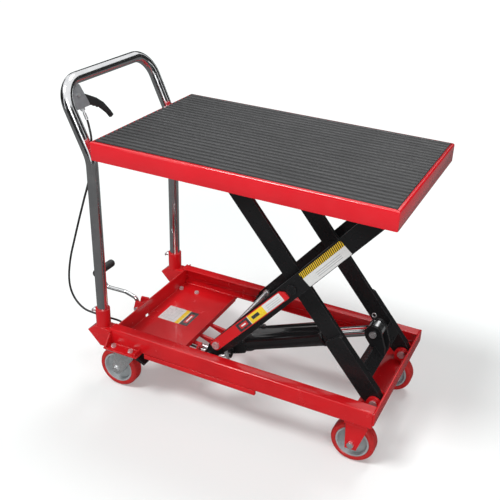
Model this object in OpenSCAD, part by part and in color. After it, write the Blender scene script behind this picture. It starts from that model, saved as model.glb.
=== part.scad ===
// Foot-pumped scissor lift table on four wheels, drawn raised.
// X runs forward from the handle end, Y to the left, Z up; the floor is Z = 0.

/* [Table] */
// Length of the table top.
table_len = 815; // [600:5:1200]
// Width of the table top.
table_w = 500; // [400:5:700]
// Height of the folded skirt round the table.
skirt_h = 50; // [40:1:70]
// Thickness of the rubber mat.
mat_t = 3; // [2:0.5:6]

/* [Scissor] */
// Pivot to pivot length of each scissor arm.
arm_len = 760; // [600:5:1000]
// Width of the flat arms.
arm_w = 50; // [36:1:62]
// Thickness of the flat arms.
bar_t = 12; // [8:1:14]
// Angle of the arms above the floor in the drawn pose.
open_angle = 50; // [20:1:57]

/* [Base] */
// Height of the side rail section.
rail_h = 53; // [46:1:70]
// Thickness of the rail steel.
rail_t = 5; // [3:0.5:6]
// Wheel diameter, all four wheels.
wheel_d = 125; // [100:1:160]
// Width of a wheel tread.
tread_w = 38; // [28:1:44]

/* [Handle] */
// Height of the middle of the hand bar above the floor.
bar_z = 900; // [800:5:1100]
// Outside diameter of the handle tube.
tube_d = 32; // [25:1:34]
// Angle by which the upper handle leans back.
lean = 24.5; // [10:0.5:35]

/* [Pump] */
// Outside diameter of the oil tank.
tank_d = 70; // [56:1:76]
// Length of the oil tank along its axis.
tank_len = 260; // [200:5:290]
// Diameter of the ram.
ram_d = 30; // [22:1:30]
// Reach of the foot pedal behind its hinge.
pedal_reach = 152; // [120:1:180]

/* [Hidden] */
$fn = 64;
half_w = table_w / 2;
rail_out = half_w - 30;
rail_in = rail_out - 33;
rail_z0 = wheel_d + 25;
rail_z1 = rail_z0 + rail_h;
roller_d = rail_h - 2 * rail_t - 3;
roll_r = roller_d / 2 - 0.3;
piv_z = rail_z0 + rail_t + roller_d / 2;
piv_x = table_len - 30;
front_x = table_len - 9;
b_y = rail_in - 27;
b_in = b_y - bar_t / 2;
b_out = b_y + bar_t / 2;
a_y = b_y - 37;
a_in = a_y - bar_t / 2;
a_out = a_y + bar_t / 2;
doubler_out = a_out + 10;
roll_x = piv_x - arm_len * cos(open_angle);
top_z = piv_z + arm_len * sin(open_angle);
cen_x = (piv_x + roll_x) / 2;
cen_z = (piv_z + top_z) / 2;
head_room = roller_d / 2 + 4;
sheet_z = top_z + head_room;
table_z = sheet_z + 3;
skirt_z = table_z - skirt_h;
track_z0 = top_z - roller_d / 2 - 4;
// Ram pin in the frame of the inner arms: along the arm, and out from its middle line.
ram_s = 135;
ram_p = 40;
ram_x = piv_x - ram_s * cos(open_angle) + ram_p * sin(open_angle);
ram_z = piv_z + ram_s * sin(open_angle) + ram_p * cos(open_angle);
pump_x = piv_x - 520;
pump_z = piv_z - 58;
ram_len = norm([ram_x - pump_x, ram_z - pump_z]);
ram_up = atan2(ram_z - pump_z, ram_x - pump_x);
tank_s0 = 90;
tank_s1 = tank_s0 + tank_len;
tank_r = tank_d / 2;
ram_r = ram_d / 2;
// Floor pan and its crossbar.
pan_x1 = pump_x - 66;
pan_x0 = 8;
pan_z = rail_z0;
bar_x0 = pan_x1 - 31;
bar_x1 = pan_x1 - 3.1;
clamp_x = pump_x - 48;
// Handle.
leg_x = -37;
leg_y = half_w - 52;
tube_r = tube_d / 2;
sock_z1 = rail_z0 + 101;
sock_z0 = rail_z0 + 44;
knee_z = bar_z - 188;
knee_r = 110;
corner_r = 68;
lean_len = (bar_z - knee_z) / cos(lean);
// Rear casters.
cast_x = 48;
cast_y = rail_out - 27;
trail = 35;
wheel_r = wheel_d / 2;
hub_r = wheel_r - 15;
// Front wheels.
fw_x = table_len - 64;
fw_y = rail_out - 48;
// Foot pedal.
ped_x = -14;
ped_y = -45;
ped_z = rail_z0 + 28;
pedal_x = ped_x - pedal_reach;
pedal_z = ped_z + 79;
pad_y0 = -60;
pad_y1 = 30;
pad_r = 12.5;
push_z = ped_z - 50;
plunge_y = ped_y - 13;
plunge_z = push_z - 13;
// Middle of the whole object's length.
mid_x = (table_len + pedal_x - pad_r) / 2;
// Release cable: hand-chosen points from the lever bracket down to the pump.
cable_r = 3;
sleeve_t = 110;
clamp_y = -86;
clamp_z = 126;
route = [
    [leg_x + (sleeve_t - lean_len) * sin(lean), -leg_y + tube_r + 28, bar_z - sleeve_t * cos(lean)],
    [-72, -155, bar_z - 117], [-61, -163, bar_z - 148], [-62, -170, bar_z - 200],
    [-72, -172, bar_z - 262], [-94, -173, 572], [-115, -173, 511], [-140, -173, 435],
    [-158, -173, 378], [-170, -173, 321], [-172, -173, 279], [-165, -172, 246],
    [-147, -172, 220], [-122, -170, 203], [-92, -160, 192], [-66, -135, 172],
    [-51, -112, 154], [-30, -104, 143], [0, -99, 140], [50, -94, 139],
    [110, -90, 137], [165, -87, 131], [200, -86, 127], [clamp_x - 0.1, -86, 126]
];

// Shifts everything so that the middle of the whole object is at X = 0.
module placed() {
    translate([-mid_x, 0, 0]) children();
}

// The right-hand piece and its mirror image.
module both() {
    children();
    mirror([0, 1, 0]) children();
}

// A flat shape in the X-Z plane, given thickness from y0 to y1.
module slab(y0, y1) {
    translate([0, y1, 0]) rotate([90, 0, 0]) linear_extrude(y1 - y0) children();
}

// A round bar along Y from y0 to y1.
module pin_y(x, z, r, y0, y1) {
    translate([x, y1, z]) rotate([90, 0, 0]) cylinder(h = y1 - y0, r = r);
}

// A hexagon along Y from y0 to y1.
module hex_y(x, z, r, y0, y1) {
    translate([x, y1, z]) rotate([90, 0, 0]) cylinder(h = y1 - y0, r = r, $fn = 6);
}

// A round rod between two points.
module rod(p, q, r) {
    d = q - p;
    n = norm(d);
    translate(p) rotate([0, acos(d[2] / n), atan2(d[1], d[0])]) cylinder(h = n, r = r);
}

// The frame of the inner arms: X up the arm from the front pivot, Z out from it.
module inner_frame() {
    translate([piv_x, 0, piv_z]) mirror([1, 0, 0]) rotate([0, -open_angle, 0]) children();
}

// The frame of the outer arms: X up the arm from the rear roller, Z above it.
module outer_frame() {
    translate([roll_x, 0, piv_z]) rotate([0, -open_angle, 0]) children();
}

// The frame of the hydraulic unit: X along the ram.
module pump_frame() {
    translate([pump_x, 0, pump_z]) rotate([0, -ram_up, 0]) children();
}

// The plane of the leaning handle: X to the left, Y down from the hand bar.
module handle_plane() {
    translate([leg_x - lean_len * sin(lean), 0, bar_z]) rotate([0, -90 - lean, 0])
        rotate([0, 0, 90]) children();
}

module rail(s) {
    y0 = s < 0 ? -rail_out : rail_in;
    yw = s < 0 ? -rail_out : rail_out - rail_t;
    ys = s < 0 ? -rail_out : rail_out - 9;
    color([0.8, 0.08, 0.08]) placed() difference() {
        union() {
            translate([0, y0, rail_z1 - rail_t]) cube([front_x, 33, rail_t]);
            translate([0, y0, rail_z0]) cube([front_x, 33, rail_t]);
            translate([0, yw, rail_z0]) cube([front_x, rail_t, rail_h]);
            translate([115, ys, rail_z0 - 15]) cube([roll_x + 175 - 115, 9, 15.01]);
        }
        for (dx = [-29, 29])
            translate([cast_x + dx, s * (cast_y + 13), rail_z0 - 1]) cylinder(h = 7, r = 3.6);
    }
}

module rail_right() { rail(-1); }
module rail_left() { rail(1); }

// Flat bar across the front of the rails.
module front_bar() {
    color([0.8, 0.08, 0.08]) placed()
        translate([front_x, -rail_out, rail_z1 - 40]) cube([6, 2 * rail_out, 40]);
}

// Folded channel between the rails below the front pivots.
module front_beam() {
    z1 = rail_z0 - 0.1;
    w = fw_y - tread_w / 2 - 9.1;
    color([0.8, 0.08, 0.08]) placed() difference() {
        translate([piv_x - 49, -w, z1 - 30]) cube([54, 2 * w, 30]);
        translate([piv_x - 45, -w - 1, z1 - 35]) cube([46, 2 * w + 2, 31]);
    }
}

// One ear plate: rounded over the pin and square at the foot.
module ear_shape() {
    difference() {
        union() {
            translate([piv_x, piv_z]) circle(r = 20.5);
            translate([piv_x - 20, rail_z0 - 0.1]) square([24, piv_z - rail_z0 + 0.1]);
            translate([piv_x + 2, rail_z0 - 0.1]) square([3, 4]);
        }
        translate([piv_x, piv_z]) circle(r = 8.05);
        translate([piv_x + 5, rail_z0 - 30]) square([30, 30]);
    }
}

// Two clevises that hold the lower ends of the inner arms.
module front_ears() {
    color([0.8, 0.08, 0.08]) placed() both() {
        slab(-doubler_out - 10, -doubler_out - 2) ear_shape();
        slab(-a_in + 4, -a_in + 12) ear_shape();
    }
}

// Clevis pins, pedal pin, pump pin and the front axle bolts.
module base_pins() {
    color([0.8, 0.82, 0.84]) placed() {
        for (s = [-1, 1]) {
            y0 = s < 0 ? -doubler_out - 13 : a_in - 15;
            y1 = s < 0 ? -a_in + 15 : doubler_out + 13;
            pin_y(piv_x, piv_z, 8, y0, y1);
            pin_y(piv_x, piv_z, 11, y0 - 3, y0 + 2.8);
            pin_y(fw_x, wheel_r, 6, s * fw_y - tread_w / 2 - 13, s * fw_y + tread_w / 2 + 13);
            for (e = [-1, 1])
                hex_y(fw_x, wheel_r, 10, s * fw_y + e * (tread_w / 2 + 12.5) - 3.5,
                    s * fw_y + e * (tread_w / 2 + 12.5) + 3.5);
        }
        pin_y(ped_x, ped_z, 5, ped_y - 21, ped_y + 21);
        pin_y(ped_x, ped_z, 8, ped_y - 23, ped_y - 19.2);
        pin_y(pump_x, pump_z, 8, -38, 38);
        pin_y(pump_x, pump_z, 11, -41, -37.2);
    }
}

// Trapezoid plates on both sides of each front wheel, joined by a top plate.
module front_forks() {
    w = tread_w / 2;
    color([0.8, 0.08, 0.08]) placed() both() {
        for (y = [-fw_y - w - 9, -fw_y + w + 4])
            slab(y, y + 5) difference() {
                polygon([[fw_x - 24, rail_z0 - 0.1], [fw_x + 44, rail_z0 - 0.1], [fw_x + 44, rail_z0 - 14],
                    [fw_x + 16, wheel_r - 16], [fw_x - 16, wheel_r - 16], [fw_x - 20, rail_z0 - 20]]);
                translate([fw_x, wheel_r]) circle(r = 6.03);
            }
        translate([fw_x - 24, -fw_y - w - 9, rail_z0 - 4.1]) cube([68, tread_w + 18, 4]);
        slab(-fw_y - w - 18, -fw_y - w - 8.9) square_at(fw_x - 22, rail_z0 - 14, 64, 13.9);
    }
}

module square_at(x, z, w, h) {
    translate([x, z]) square([w, h]);
}

// Floor pan: flat sheet, upturned rear wall and folded front lip.
module floor_pan() {
    w = rail_in - 0.1;
    color([0.8, 0.08, 0.08]) placed() difference() {
        union() {
            translate([pan_x0, -w, pan_z]) cube([pan_x1 - pan_x0, 2 * w, 3]);
            translate([pan_x0, -w, pan_z]) cube([3, 2 * w, rail_h]);
            translate([pan_x1 - 3, -w, pan_z - 14]) cube([3, 2 * w, 17]);
        }
        for (s = [-1, 1], dx = [-29, 29])
            translate([cast_x + dx, s * (cast_y - 48), pan_z - 1]) cylinder(h = 6, r = 4.1);
        translate([pan_x0 - 1, ped_y - 8, pan_z - 1]) cube([30, 16, 29]);
    }
}

// Handle sockets on wedge brackets behind the rails.
module handle_sockets() {
    color([0.8, 0.08, 0.08]) placed() both() difference() {
        union() {
            translate([leg_x, -leg_y, sock_z0 - 2]) cylinder(h = sock_z1 - sock_z0 + 2, r = tube_r + 5);
            slab(-leg_y - 21, -leg_y + 19) polygon([[-0.1, sock_z0], [leg_x - 19, sock_z0],
                [leg_x - 43, sock_z0 - 19], [leg_x - 2, rail_z0 - 18], [-6, rail_z0 - 18],
                [-6, rail_z0], [-0.1, rail_z0]]);
        }
        translate([leg_x, -leg_y, sock_z0 - 12]) cylinder(h = 120, r = tube_r + 0.1);
        rod([leg_x - tube_r - 15, -leg_y, sock_z1 - 14], [leg_x, -leg_y, sock_z1 - 14], 3.05);
    }
}

// Wing screws that clamp the handle.
module clamp_screws() {
    x = leg_x - tube_r;
    z = sock_z1 - 14;
    color([0.8, 0.82, 0.84]) placed() both() {
        rod([x - 0.05, -leg_y, z], [x - 17, -leg_y, z], 3);
        rod([x - 9, -leg_y, z], [x - 16, -leg_y, z], 5);
        translate([x - 17, -leg_y - 10, z - 3]) cube([3, 20, 8]);
    }
}

// Outboard flange plates for the rear casters, with gussets on the rail face.
module caster_flanges() {
    color([0.8, 0.08, 0.08]) placed() both() difference() {
        union() {
            translate([cast_x - 52, -half_w, rail_z0 - 0.1]) cube([112, half_w - rail_out, 5]);
            slab(-half_w, -rail_out - 0.05) polygon([[0, rail_z0 + 4], [4, rail_z0 + 4],
                [4, rail_z1 - 6], [0, rail_z1 - 6]]);
            translate([cast_x + 52, -half_w, rail_z0 + 4]) cube([4, half_w - rail_out - 0.05, 12]);
        }
        translate([-1, -half_w, rail_z0 + 9]) rotate([50, 0, 0]) translate([0, -40, 0]) cube([6, 80, 60]);
        for (dx = [-29, 29])
            translate([cast_x + dx, -cast_y - 39, rail_z0 - 3]) cylinder(h = 10, r = 4.1);
    }
}

// Caster top plates, each with four bolts.
module caster_plates() {
    color([0.78, 0.79, 0.8]) placed() both() difference() {
        union() {
            translate([cast_x - 48, -half_w + 4, rail_z0 - 5.1]) cube([96, half_w - cast_y + 50, 5]);
            translate([cast_x, -cast_y, rail_z0 - 10.1]) cylinder(h = 6, r = 32);
            for (dx = [-29, 29]) {
                bolt(cast_x + dx, -cast_y - 39, rail_z0 + 4.9);
                bolt(cast_x + dx, -cast_y + 48, rail_z0 + 3);
            }
        }
        translate([cast_x, -cast_y, rail_z0 - 30]) cylinder(h = 40, r = 8.05);
    }
}

// A hexagon bolt with its head on a plate at height z and a nut under the caster plate.
module bolt(x, y, z) {
    translate([x, y, rail_z0 - 15]) cylinder(h = z - rail_z0 + 19, r = 4);
    translate([x, y, z + 0.05]) cylinder(h = 5.5, r = 7.4, $fn = 6);
    translate([x, y, z + 0.05]) cylinder(h = 1.2, r = 7.6);
    translate([x, y, rail_z0 - 12]) cylinder(h = 7, r = 7.4, $fn = 6);
}

// Crossbar under the rails and the pan, with two ears that carry the hydraulic unit.
module pump_bar() {
    w = rail_out - 9.1;
    color([0.8, 0.08, 0.08]) placed() {
        translate([bar_x0, -w, rail_z0 - 14]) cube([bar_x1 - bar_x0, 2 * w, 13.9]);
        both() slab(-36, -28) difference() {
            union() {
                polygon([[bar_x0 + 2, rail_z0 - 13.9], [bar_x1 - 0.1, rail_z0 - 13.9], [bar_x1, rail_z0 - 14.6],
                    [pump_x + 15, pump_z + 8], [pump_x + 2, pump_z - 15], [pump_x - 12, pump_z - 11]]);
                translate([pump_x, pump_z]) circle(r = 17);
            }
            translate([pump_x, pump_z]) circle(r = 8.05);
        }
        difference() {
            union() {
                translate([clamp_x, clamp_y - 11, clamp_z - 10]) cube([6, 27, 20]);
                translate([bar_x1 - 14, clamp_y + 5, rail_z0 - 20]) cube([clamp_x - bar_x1 + 15, 11, 5.5]);
                translate([bar_x1 - 14, clamp_y + 5, rail_z0 - 15]) cube([13.9, 11, 1.1]);
            }
            rod([clamp_x - 4, clamp_y, clamp_z], [clamp_x + 10, clamp_y, clamp_z], 1.6);
        }
    }
}

// A length of the handle tube.
module tube_run(n) {
    translate([0, 0, -0.6]) linear_extrude(n + 1.2) tube_ring(0);
}

// Cross-section of the tube; the bends are a hair thicker than the straights.
module tube_ring(more) {
    difference() {
        circle(r = tube_r + more);
        circle(r = tube_r - 2.5 - more);
    }
}

// One side of the bent handle, up to the straight middle of the hand bar.
module handle_side() {
    kc = knee_r * tan(lean / 2);
    translate([leg_x, -leg_y, sock_z0 + 2]) tube_run(knee_z - kc - sock_z0 - 2);
    translate([leg_x - knee_r, -leg_y, knee_z - kc]) rotate([90, 0, 0])
        rotate_extrude(angle = lean) translate([knee_r, 0]) tube_ring(0.05);
    handle_plane() {
        translate([-leg_y, corner_r, 0]) rotate([-90, 0, 0]) tube_run(lean_len - kc - corner_r);
        translate([-leg_y + corner_r, corner_r, 0]) rotate([0, 0, 180])
            rotate_extrude(angle = 90) translate([corner_r, 0]) tube_ring(0.05);
    }
}

// Bent push handle.
module handle_tube() {
    color([0.85, 0.86, 0.88]) placed() {
        both() handle_side();
        handle_plane() translate([corner_r - leg_y, 0, 0]) rotate([0, 90, 0])
            tube_run(2 * (leg_y - corner_r));
    }
}

// Folded bracket in the corner of the handle: two thin plates and a bottom web.
module lever_bracket() {
    y0 = -leg_y + tube_r;
    e = sqrt(tube_r * tube_r - 25);
    yl = -leg_y + e + 0.1;
    color([0.6, 0.61, 0.62]) placed() handle_plane() {
        for (z = [-8, 5])
            translate([0, 0, z]) linear_extrude(3) difference() {
                polygon([[y0 + 40, e + 0.1], [y0 + 46, 20], [y0 + 50, 48], [y0 + 54, 74],
                    [yl + 2, 78], [yl, 60], [yl, 36], [yl, e + 0.1]]);
                translate([y0 + 25, 43]) circle(r = 3.05);
                outside_bend(corner_r - e - 0.1);
            }
        difference() {
            translate([y0 + 3, 75, -8]) cube([50, 3, 16]);
            translate([y0 + 28, 70, 0]) rotate([-90, 0, 0]) cylinder(h = 14, r = 3.05);
        }
    }
}

// Everything outside a circle, for trimming a plate to the inside of the handle bend.
module outside_bend(r) {
    translate([-leg_y + corner_r, corner_r]) difference() {
        translate([-120, -120]) square([120, 120]);
        circle(r = r);
    }
}

// Pivot screw of the lever, adjuster nut and outer sleeve of the cable.
module lever_hardware() {
    y0 = -leg_y + tube_r;
    color([0.8, 0.82, 0.84]) placed() handle_plane() {
        translate([y0 + 25, 43, -11]) cylinder(h = 22, r = 3);
        translate([y0 + 25, 43, 8.02]) cylinder(h = 3.5, r = 6);
        translate([y0 + 25, 43, -11.5]) cylinder(h = 3.48, r = 5.6, $fn = 6);
        translate([y0 + 28, 72, 0]) rotate([-90, 0, 0]) cylinder(h = 22, r = 3);
        translate([y0 + 28, 78.05, 0]) rotate([-90, 0, 0]) cylinder(h = 6, r = 6.5, $fn = 6);
        translate([y0 + 28, 90, 0]) rotate([-90, 0, 0]) cylinder(h = sleeve_t - 91.2, r = 4.2);
    }
}

// Release lever: a curved blade with finger notches.
module release_lever() {
    y0 = -leg_y + tube_r;
    color([0.08, 0.08, 0.09]) placed() handle_plane() translate([0, 0, -4]) linear_extrude(8) difference() {
        union() {
            translate([y0 + 25, 43]) circle(r = 9);
            polygon([[y0 + 22, 34], [y0 + 56, 46], [y0 + 92, 66], [y0 + 112, 84], [y0 + 126, 110],
                [y0 + 131, 124], [y0 + 120, 128], [y0 + 112, 112], [y0 + 98, 96], [y0 + 84, 88],
                [y0 + 60, 74], [y0 + 46, 66], [y0 + 30, 60], [y0 + 17, 48]]);
        }
        translate([y0 + 25, 43]) circle(r = 3.1);
        for (k = [0 : 3])
            translate([y0 + 58 + 11 * k, 78 + 5.2 * k]) circle(r = 4.2);
    }
}

// Point k of a smooth curve through the cable route.
function spline(p, i, t) =
    let (a = p[max(i - 1, 0)], b = p[i], c = p[i + 1], d = p[min(i + 2, len(p) - 1)])
    0.5 * (2 * b + (c - a) * t + (2 * a - 5 * b + 4 * c - d) * t * t + (3 * b - a - 3 * c + d) * t * t * t);

// A tube through the points of a path, with flat ends.
module swept(pts, r, sides) {
    n = len(pts);
    rings = [for (i = [0 : n - 1])
        let (t0 = pts[min(i + 1, n - 1)] - pts[max(i - 1, 0)], t = t0 / norm(t0),
            u0 = cross(t, [0, 1, 0]), u = u0 / norm(u0), v = cross(t, u))
        for (k = [0 : sides - 1]) pts[i] + r * (cos(360 * k / sides) * u + sin(360 * k / sides) * v)];
    polyhedron(points = rings, faces = concat(
        [[for (k = [sides - 1 : -1 : 0]) k]],
        [[for (k = [0 : sides - 1]) (n - 1) * sides + k]],
        [for (i = [0 : n - 2], k = [0 : sides - 1])
            [i * sides + k, i * sides + (k + 1) % sides, (i + 1) * sides + (k + 1) % sides,
                (i + 1) * sides + k]]));
}

// Release cable from the lever down behind the handle to the pump.
module release_cable() {
    n = len(route) - 1;
    pts = concat([for (i = [0 : n - 1], t = [0, 0.35, 0.7]) spline(route, i, t)], [route[n]]);
    color([0.05, 0.05, 0.05]) placed() swept(pts, cable_r, 8);
}

// Bare end of the inner wire, from the cable clamp to the valve lever.
module release_wire() {
    color([0.7, 0.71, 0.72]) placed() {
        rod([clamp_x + 6.4, clamp_y, clamp_z], [pump_x + 36, clamp_y, clamp_z], 1.2);
        rod([pump_x + 34, clamp_y, clamp_z], [pump_x + 42, clamp_y, clamp_z], 3.5);
    }
}

// A bent round rod that follows points in its own X-Y plane, with arcs of radius big at the bends.
module planar_rod(p, big, r) {
    n = len(p) - 1;
    d = [for (i = [0 : n - 1]) (p[i + 1] - p[i]) / norm(p[i + 1] - p[i])];
    turn = [for (i = [0 : n]) i == 0 || i == n ? 0 : bend(d[i - 1], d[i])];
    cut = [for (i = [0 : n]) big * tan(abs(turn[i]) / 2)];
    for (i = [0 : n - 1]) {
        a = p[i] + d[i] * cut[i];
        b = p[i + 1] - d[i] * cut[i + 1];
        translate([a[0], a[1], 0]) rotate([0, 90, atan2(d[i][1], d[i][0])]) translate([0, 0, -0.5])
            cylinder(h = norm(b - a) + 1, r = r);
    }
    for (i = [1 : n - 1]) {
        q = turn[i] > 0 ? 1 : -1;
        c = p[i] - d[i - 1] * cut[i] + q * big * [-d[i - 1][1], d[i - 1][0]];
        e = q > 0 ? d[i - 1] : d[i];
        translate([c[0], c[1], 0]) rotate([0, 0, atan2(-q * e[0], q * e[1])])
            rotate_extrude(angle = abs(turn[i])) translate([big, 0]) circle(r = r + 0.06);
    }
}

// Signed turn from one direction to the next, in degrees.
function bend(a, b) = atan2(a[0] * b[1] - a[1] * b[0], a[0] * b[0] + a[1] * b[1]);

// Clevis on the rear wall for the foot pedal.
module pedal_bracket() {
    color([0.8, 0.08, 0.08]) placed() for (y = [ped_y - 19, ped_y + 13])
        slab(y, y + 6) difference() {
            union() {
                translate([ped_x, ped_z]) circle(r = 11);
                polygon([[ped_x, ped_z - 11], [pan_x0 - 0.05, ped_z - 20], [pan_x0 - 0.05, rail_z1 + 4],
                    [ped_x - 4, rail_z1 + 2], [ped_x - 11, ped_z]]);
            }
            translate([ped_x, ped_z]) circle(r = 5.05);
        }
}

// Foot pedal: hub, lower arm and a bent round rod.
module pedal_rod() {
    color([0.82, 0.83, 0.85]) placed() difference() {
        union() {
            pin_y(ped_x, ped_z, 9.5, ped_y - 12.5, ped_y + 12.5);
            translate([0, ped_y, 0]) rotate([90, 0, 0]) planar_rod([[ped_x, ped_z], [ped_x - 16, ped_z + 28],
                [ped_x - 52, ped_z + 38], [pedal_x + 32, ped_z + 36], [pedal_x, pedal_z]], 12, 6);
            pin_y(pedal_x, pedal_z, 5.6, pad_y0 + 3, pad_y1 - 3);
            slab(ped_y - 5, ped_y + 5) polygon([[ped_x - 7, ped_z], [ped_x + 7, ped_z],
                [ped_x + 5, push_z - 1], [ped_x - 5, push_z - 1]]);
            pin_y(ped_x, push_z, 6, ped_y - 5, ped_y + 5);
        }
        pin_y(ped_x, ped_z, 5.05, ped_y - 13, ped_y + 13);
    }
}

// Ribbed rubber sleeve on the pedal.
module pedal_rubber() {
    color([0.07, 0.07, 0.07]) placed() difference() {
        union() {
            pin_y(pedal_x, pedal_z, pad_r - 0.6, pad_y0, pad_y1);
            for (k = [0 : 7]) pin_y(pedal_x, pedal_z, pad_r, pad_y0 + 3 + 11.4 * k, pad_y0 + 7 + 11.4 * k);
        }
        pin_y(pedal_x, pedal_z, 5.75, pad_y0 + 2.9, pad_y1 - 2.9);
        rod([pedal_x + 32, ped_y, ped_z + 36], [pedal_x, ped_y, pedal_z], 6.9);
    }
}

// Push rod under the floor pan, from the pedal to the pump.
module push_rod() {
    x0 = ped_x + 7;
    x1 = pump_x - 48;
    color([0.5, 0.51, 0.52]) placed() translate([0, ped_y, push_z]) rotate([-135, 0, 0])
        planar_rod([[x0, 0], [x1 - 46, 0], [x1 - 20, 18.4], [x1, 18.4]], 14, 5);
}

// Cast pump block with the tank seat, rear eye and plunger barrel.
module pump_block() {
    color([0.09, 0.09, 0.1]) placed() difference() {
        union() {
            pump_frame() {
                pin_y(0, 0, 17, -27.5, 27.5);
                slab(-27.5, 27.5) polygon([[0, -16.5], [34, -26], [34, 24], [0, 16.5]]);
                slab(-38, 38) polygon([[30, -28], [80, -28], [86, -20], [86, 34], [60, 40], [30, 30]]);
                translate([80, 0, 0]) rotate([0, 90, 0]) cylinder(h = tank_s0 - 80, r = tank_r + 3);
            }
            rod([pump_x - 10, plunge_y, plunge_z], [pump_x + 50, plunge_y, plunge_z], 10);
            translate([pump_x + 26, plunge_y, plunge_z - 9]) cube([20, 30, 18]);
        }
        pin_y(pump_x, pump_z, 8.05, -60, 60);
        rod([pump_x - 20, plunge_y, plunge_z], [pump_x + 44, plunge_y, plunge_z], 6.05);
        pump_frame() rod([tank_s0 - 24, 0, 0], [tank_s0 + 10, 0, 0], 21);
        pump_frame() pin_y(52, 14, 4.05, -60, -20);
    }
}

// Oil tank: a hollow tube round the ram.
module tank() {
    color([0.05, 0.05, 0.055]) placed() pump_frame() difference() {
        union() {
            rod([tank_s0 + 0.05, 0, 0], [tank_s1, 0, 0], tank_r);
            rod([tank_s0 + 0.05, 0, 0], [tank_s0 + 8, 0, 0], tank_r + 1.5);
            rod([tank_s1 - 8, 0, 0], [tank_s1, 0, 0], tank_r + 1.5);
            rod([tank_s0 + 60, 0, tank_r - 3], [tank_s0 + 60, 0, tank_r + 6], 8);
        }
        rod([tank_s0 - 1, 0, 0], [tank_s1 + 1, 0, 0], 21);
    }
}

// End cap and gland nut with two fittings.
module gland() {
    color([0.06, 0.06, 0.065]) placed() pump_frame() difference() {
        union() {
            rod([tank_s1 + 0.05, 0, 0], [tank_s1 + 9, 0, 0], tank_r - 2);
            rod([tank_s1 + 9, 0, 0], [tank_s1 + 16, 0, 0], tank_r - 8);
            rod([tank_s1 + 9, -20, 12], [tank_s1 + 14, -20, 12], 6);
            rod([tank_s1 + 9, -14, -20], [tank_s1 + 13, -14, -20], 5);
        }
        rod([tank_s1 - 1, 0, 0], [tank_s1 + 20, 0, 0], ram_r + 0.06);
    }
}

// Pump plunger driven by the foot pedal.
module plunger() {
    color([0.8, 0.81, 0.83]) placed() {
        rod([pump_x - 46, plunge_y, plunge_z], [pump_x + 10, plunge_y, plunge_z], 6);
        rod([pump_x - 46, plunge_y, plunge_z], [pump_x - 42, plunge_y, plunge_z], 8.5);
    }
}

// Release-valve lever on the right side of the pump block.
module valve_lever() {
    y = clamp_y;
    color([0.7, 0.71, 0.72]) placed() pump_frame() {
        pin_y(52, 14, 4, y - 2, -22);
        pin_y(52, 14, 8, y - 3, y + 3);
        pin_y(52, 14, 7, -42, -38.2);
        slab(y - 2, y + 2) polygon([[45, 14], [59, 14], [55, -20], [47, -20]]);
    }
}

// Chromed ram with its piston end and the front eye.
module ram() {
    color([0.85, 0.86, 0.88]) placed() pump_frame() difference() {
        union() {
            rod([ram_len - 330, 0, 0], [ram_len - 18, 0, 0], ram_r);
            rod([ram_len - 330, 0, 0], [ram_len - 312, 0, 0], 20.9);
            pin_y(ram_len, 0, 23, -14.5, 14.5);
        }
        pin_y(ram_len, 0, 17, -16, 16);
    }
}

// Flat shape of an inner arm, with relieved ends.
module inner_shape() {
    h = arm_w / 2;
    difference() {
        union() {
            circle(r = 21);
            translate([arm_len, 0]) circle(r = 19);
            polygon([[0, -21], [22, -h], [arm_len - 50, -h], [arm_len, -19], [arm_len, 19],
                [arm_len - 50, h], [22, h], [0, 21]]);
        }
        circle(r = 8.05);
        translate([arm_len / 2, 0]) circle(r = 10.05);
        translate([arm_len, 0]) circle(r = 6.02);
    }
}

// Lower doubler that stiffens an inner arm.
module doubler_shape() {
    h = arm_w / 2;
    difference() {
        union() {
            circle(r = 21);
            polygon([[0, -21], [26, -h - 3], [200, -h - 3], [205, -h + 2], [205, h - 4], [198, h],
                [22, h], [0, 21]]);
        }
        circle(r = 8.05);
    }
}

module inner_arm() {
    inner_frame() {
        slab(-a_out, -a_in) inner_shape();
        slab(-doubler_out, -a_out + 0.01) doubler_shape();
    }
}

module arm_inner_right() { color([0.05, 0.05, 0.055]) placed() inner_arm(); }
module arm_inner_left() { color([0.05, 0.05, 0.055]) placed() mirror([0, 1, 0]) inner_arm(); }

// Folded cross channel between the inner arms, with the two ram ears.
module ram_cross() {
    h = arm_w / 2;
    w = a_in - 0.05;
    color([0.05, 0.05, 0.055]) placed() inner_frame() {
        slab(-w, w) polygon([[60, h - 32], [60, h], [102, h], [102, h - 32], [97, h - 32],
            [97, h - 5], [65, h - 5], [65, h - 32]]);
        both() slab(-25, -17) difference() {
            union() {
                translate([ram_s, ram_p]) circle(r = 24.5);
                polygon([[64, h - 0.1], [102, h - 0.1], [102, 12], [136, 14], [ram_s + 20, ram_p - 14], [ram_s - 14, ram_p + 20],
                    [84, 46], [66, 32]]);
            }
            translate([ram_s, ram_p]) circle(r = 7.05);
        }
    }
}

// Ram pin with a head and a spring clip.
module ram_pin() {
    color([0.8, 0.82, 0.84]) placed() inner_frame() {
        pin_y(ram_s, ram_p, 7, -28, 39);
        pin_y(ram_s, ram_p, 10, -30, -25.1);
        translate([ram_s - 9, 34, ram_p]) rotate([0, 90, 0]) cylinder(h = 34, r = 1.3, $fn = 24);
        translate([ram_s + 30, 34, ram_p]) rotate([90, 0, 0]) torus(6, 1.6);
    }
}

// A small ring.
module torus(big, small) {
    rotate_extrude($fn = 32) translate([big, 0]) circle(r = small, $fn = 24);
}

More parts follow.
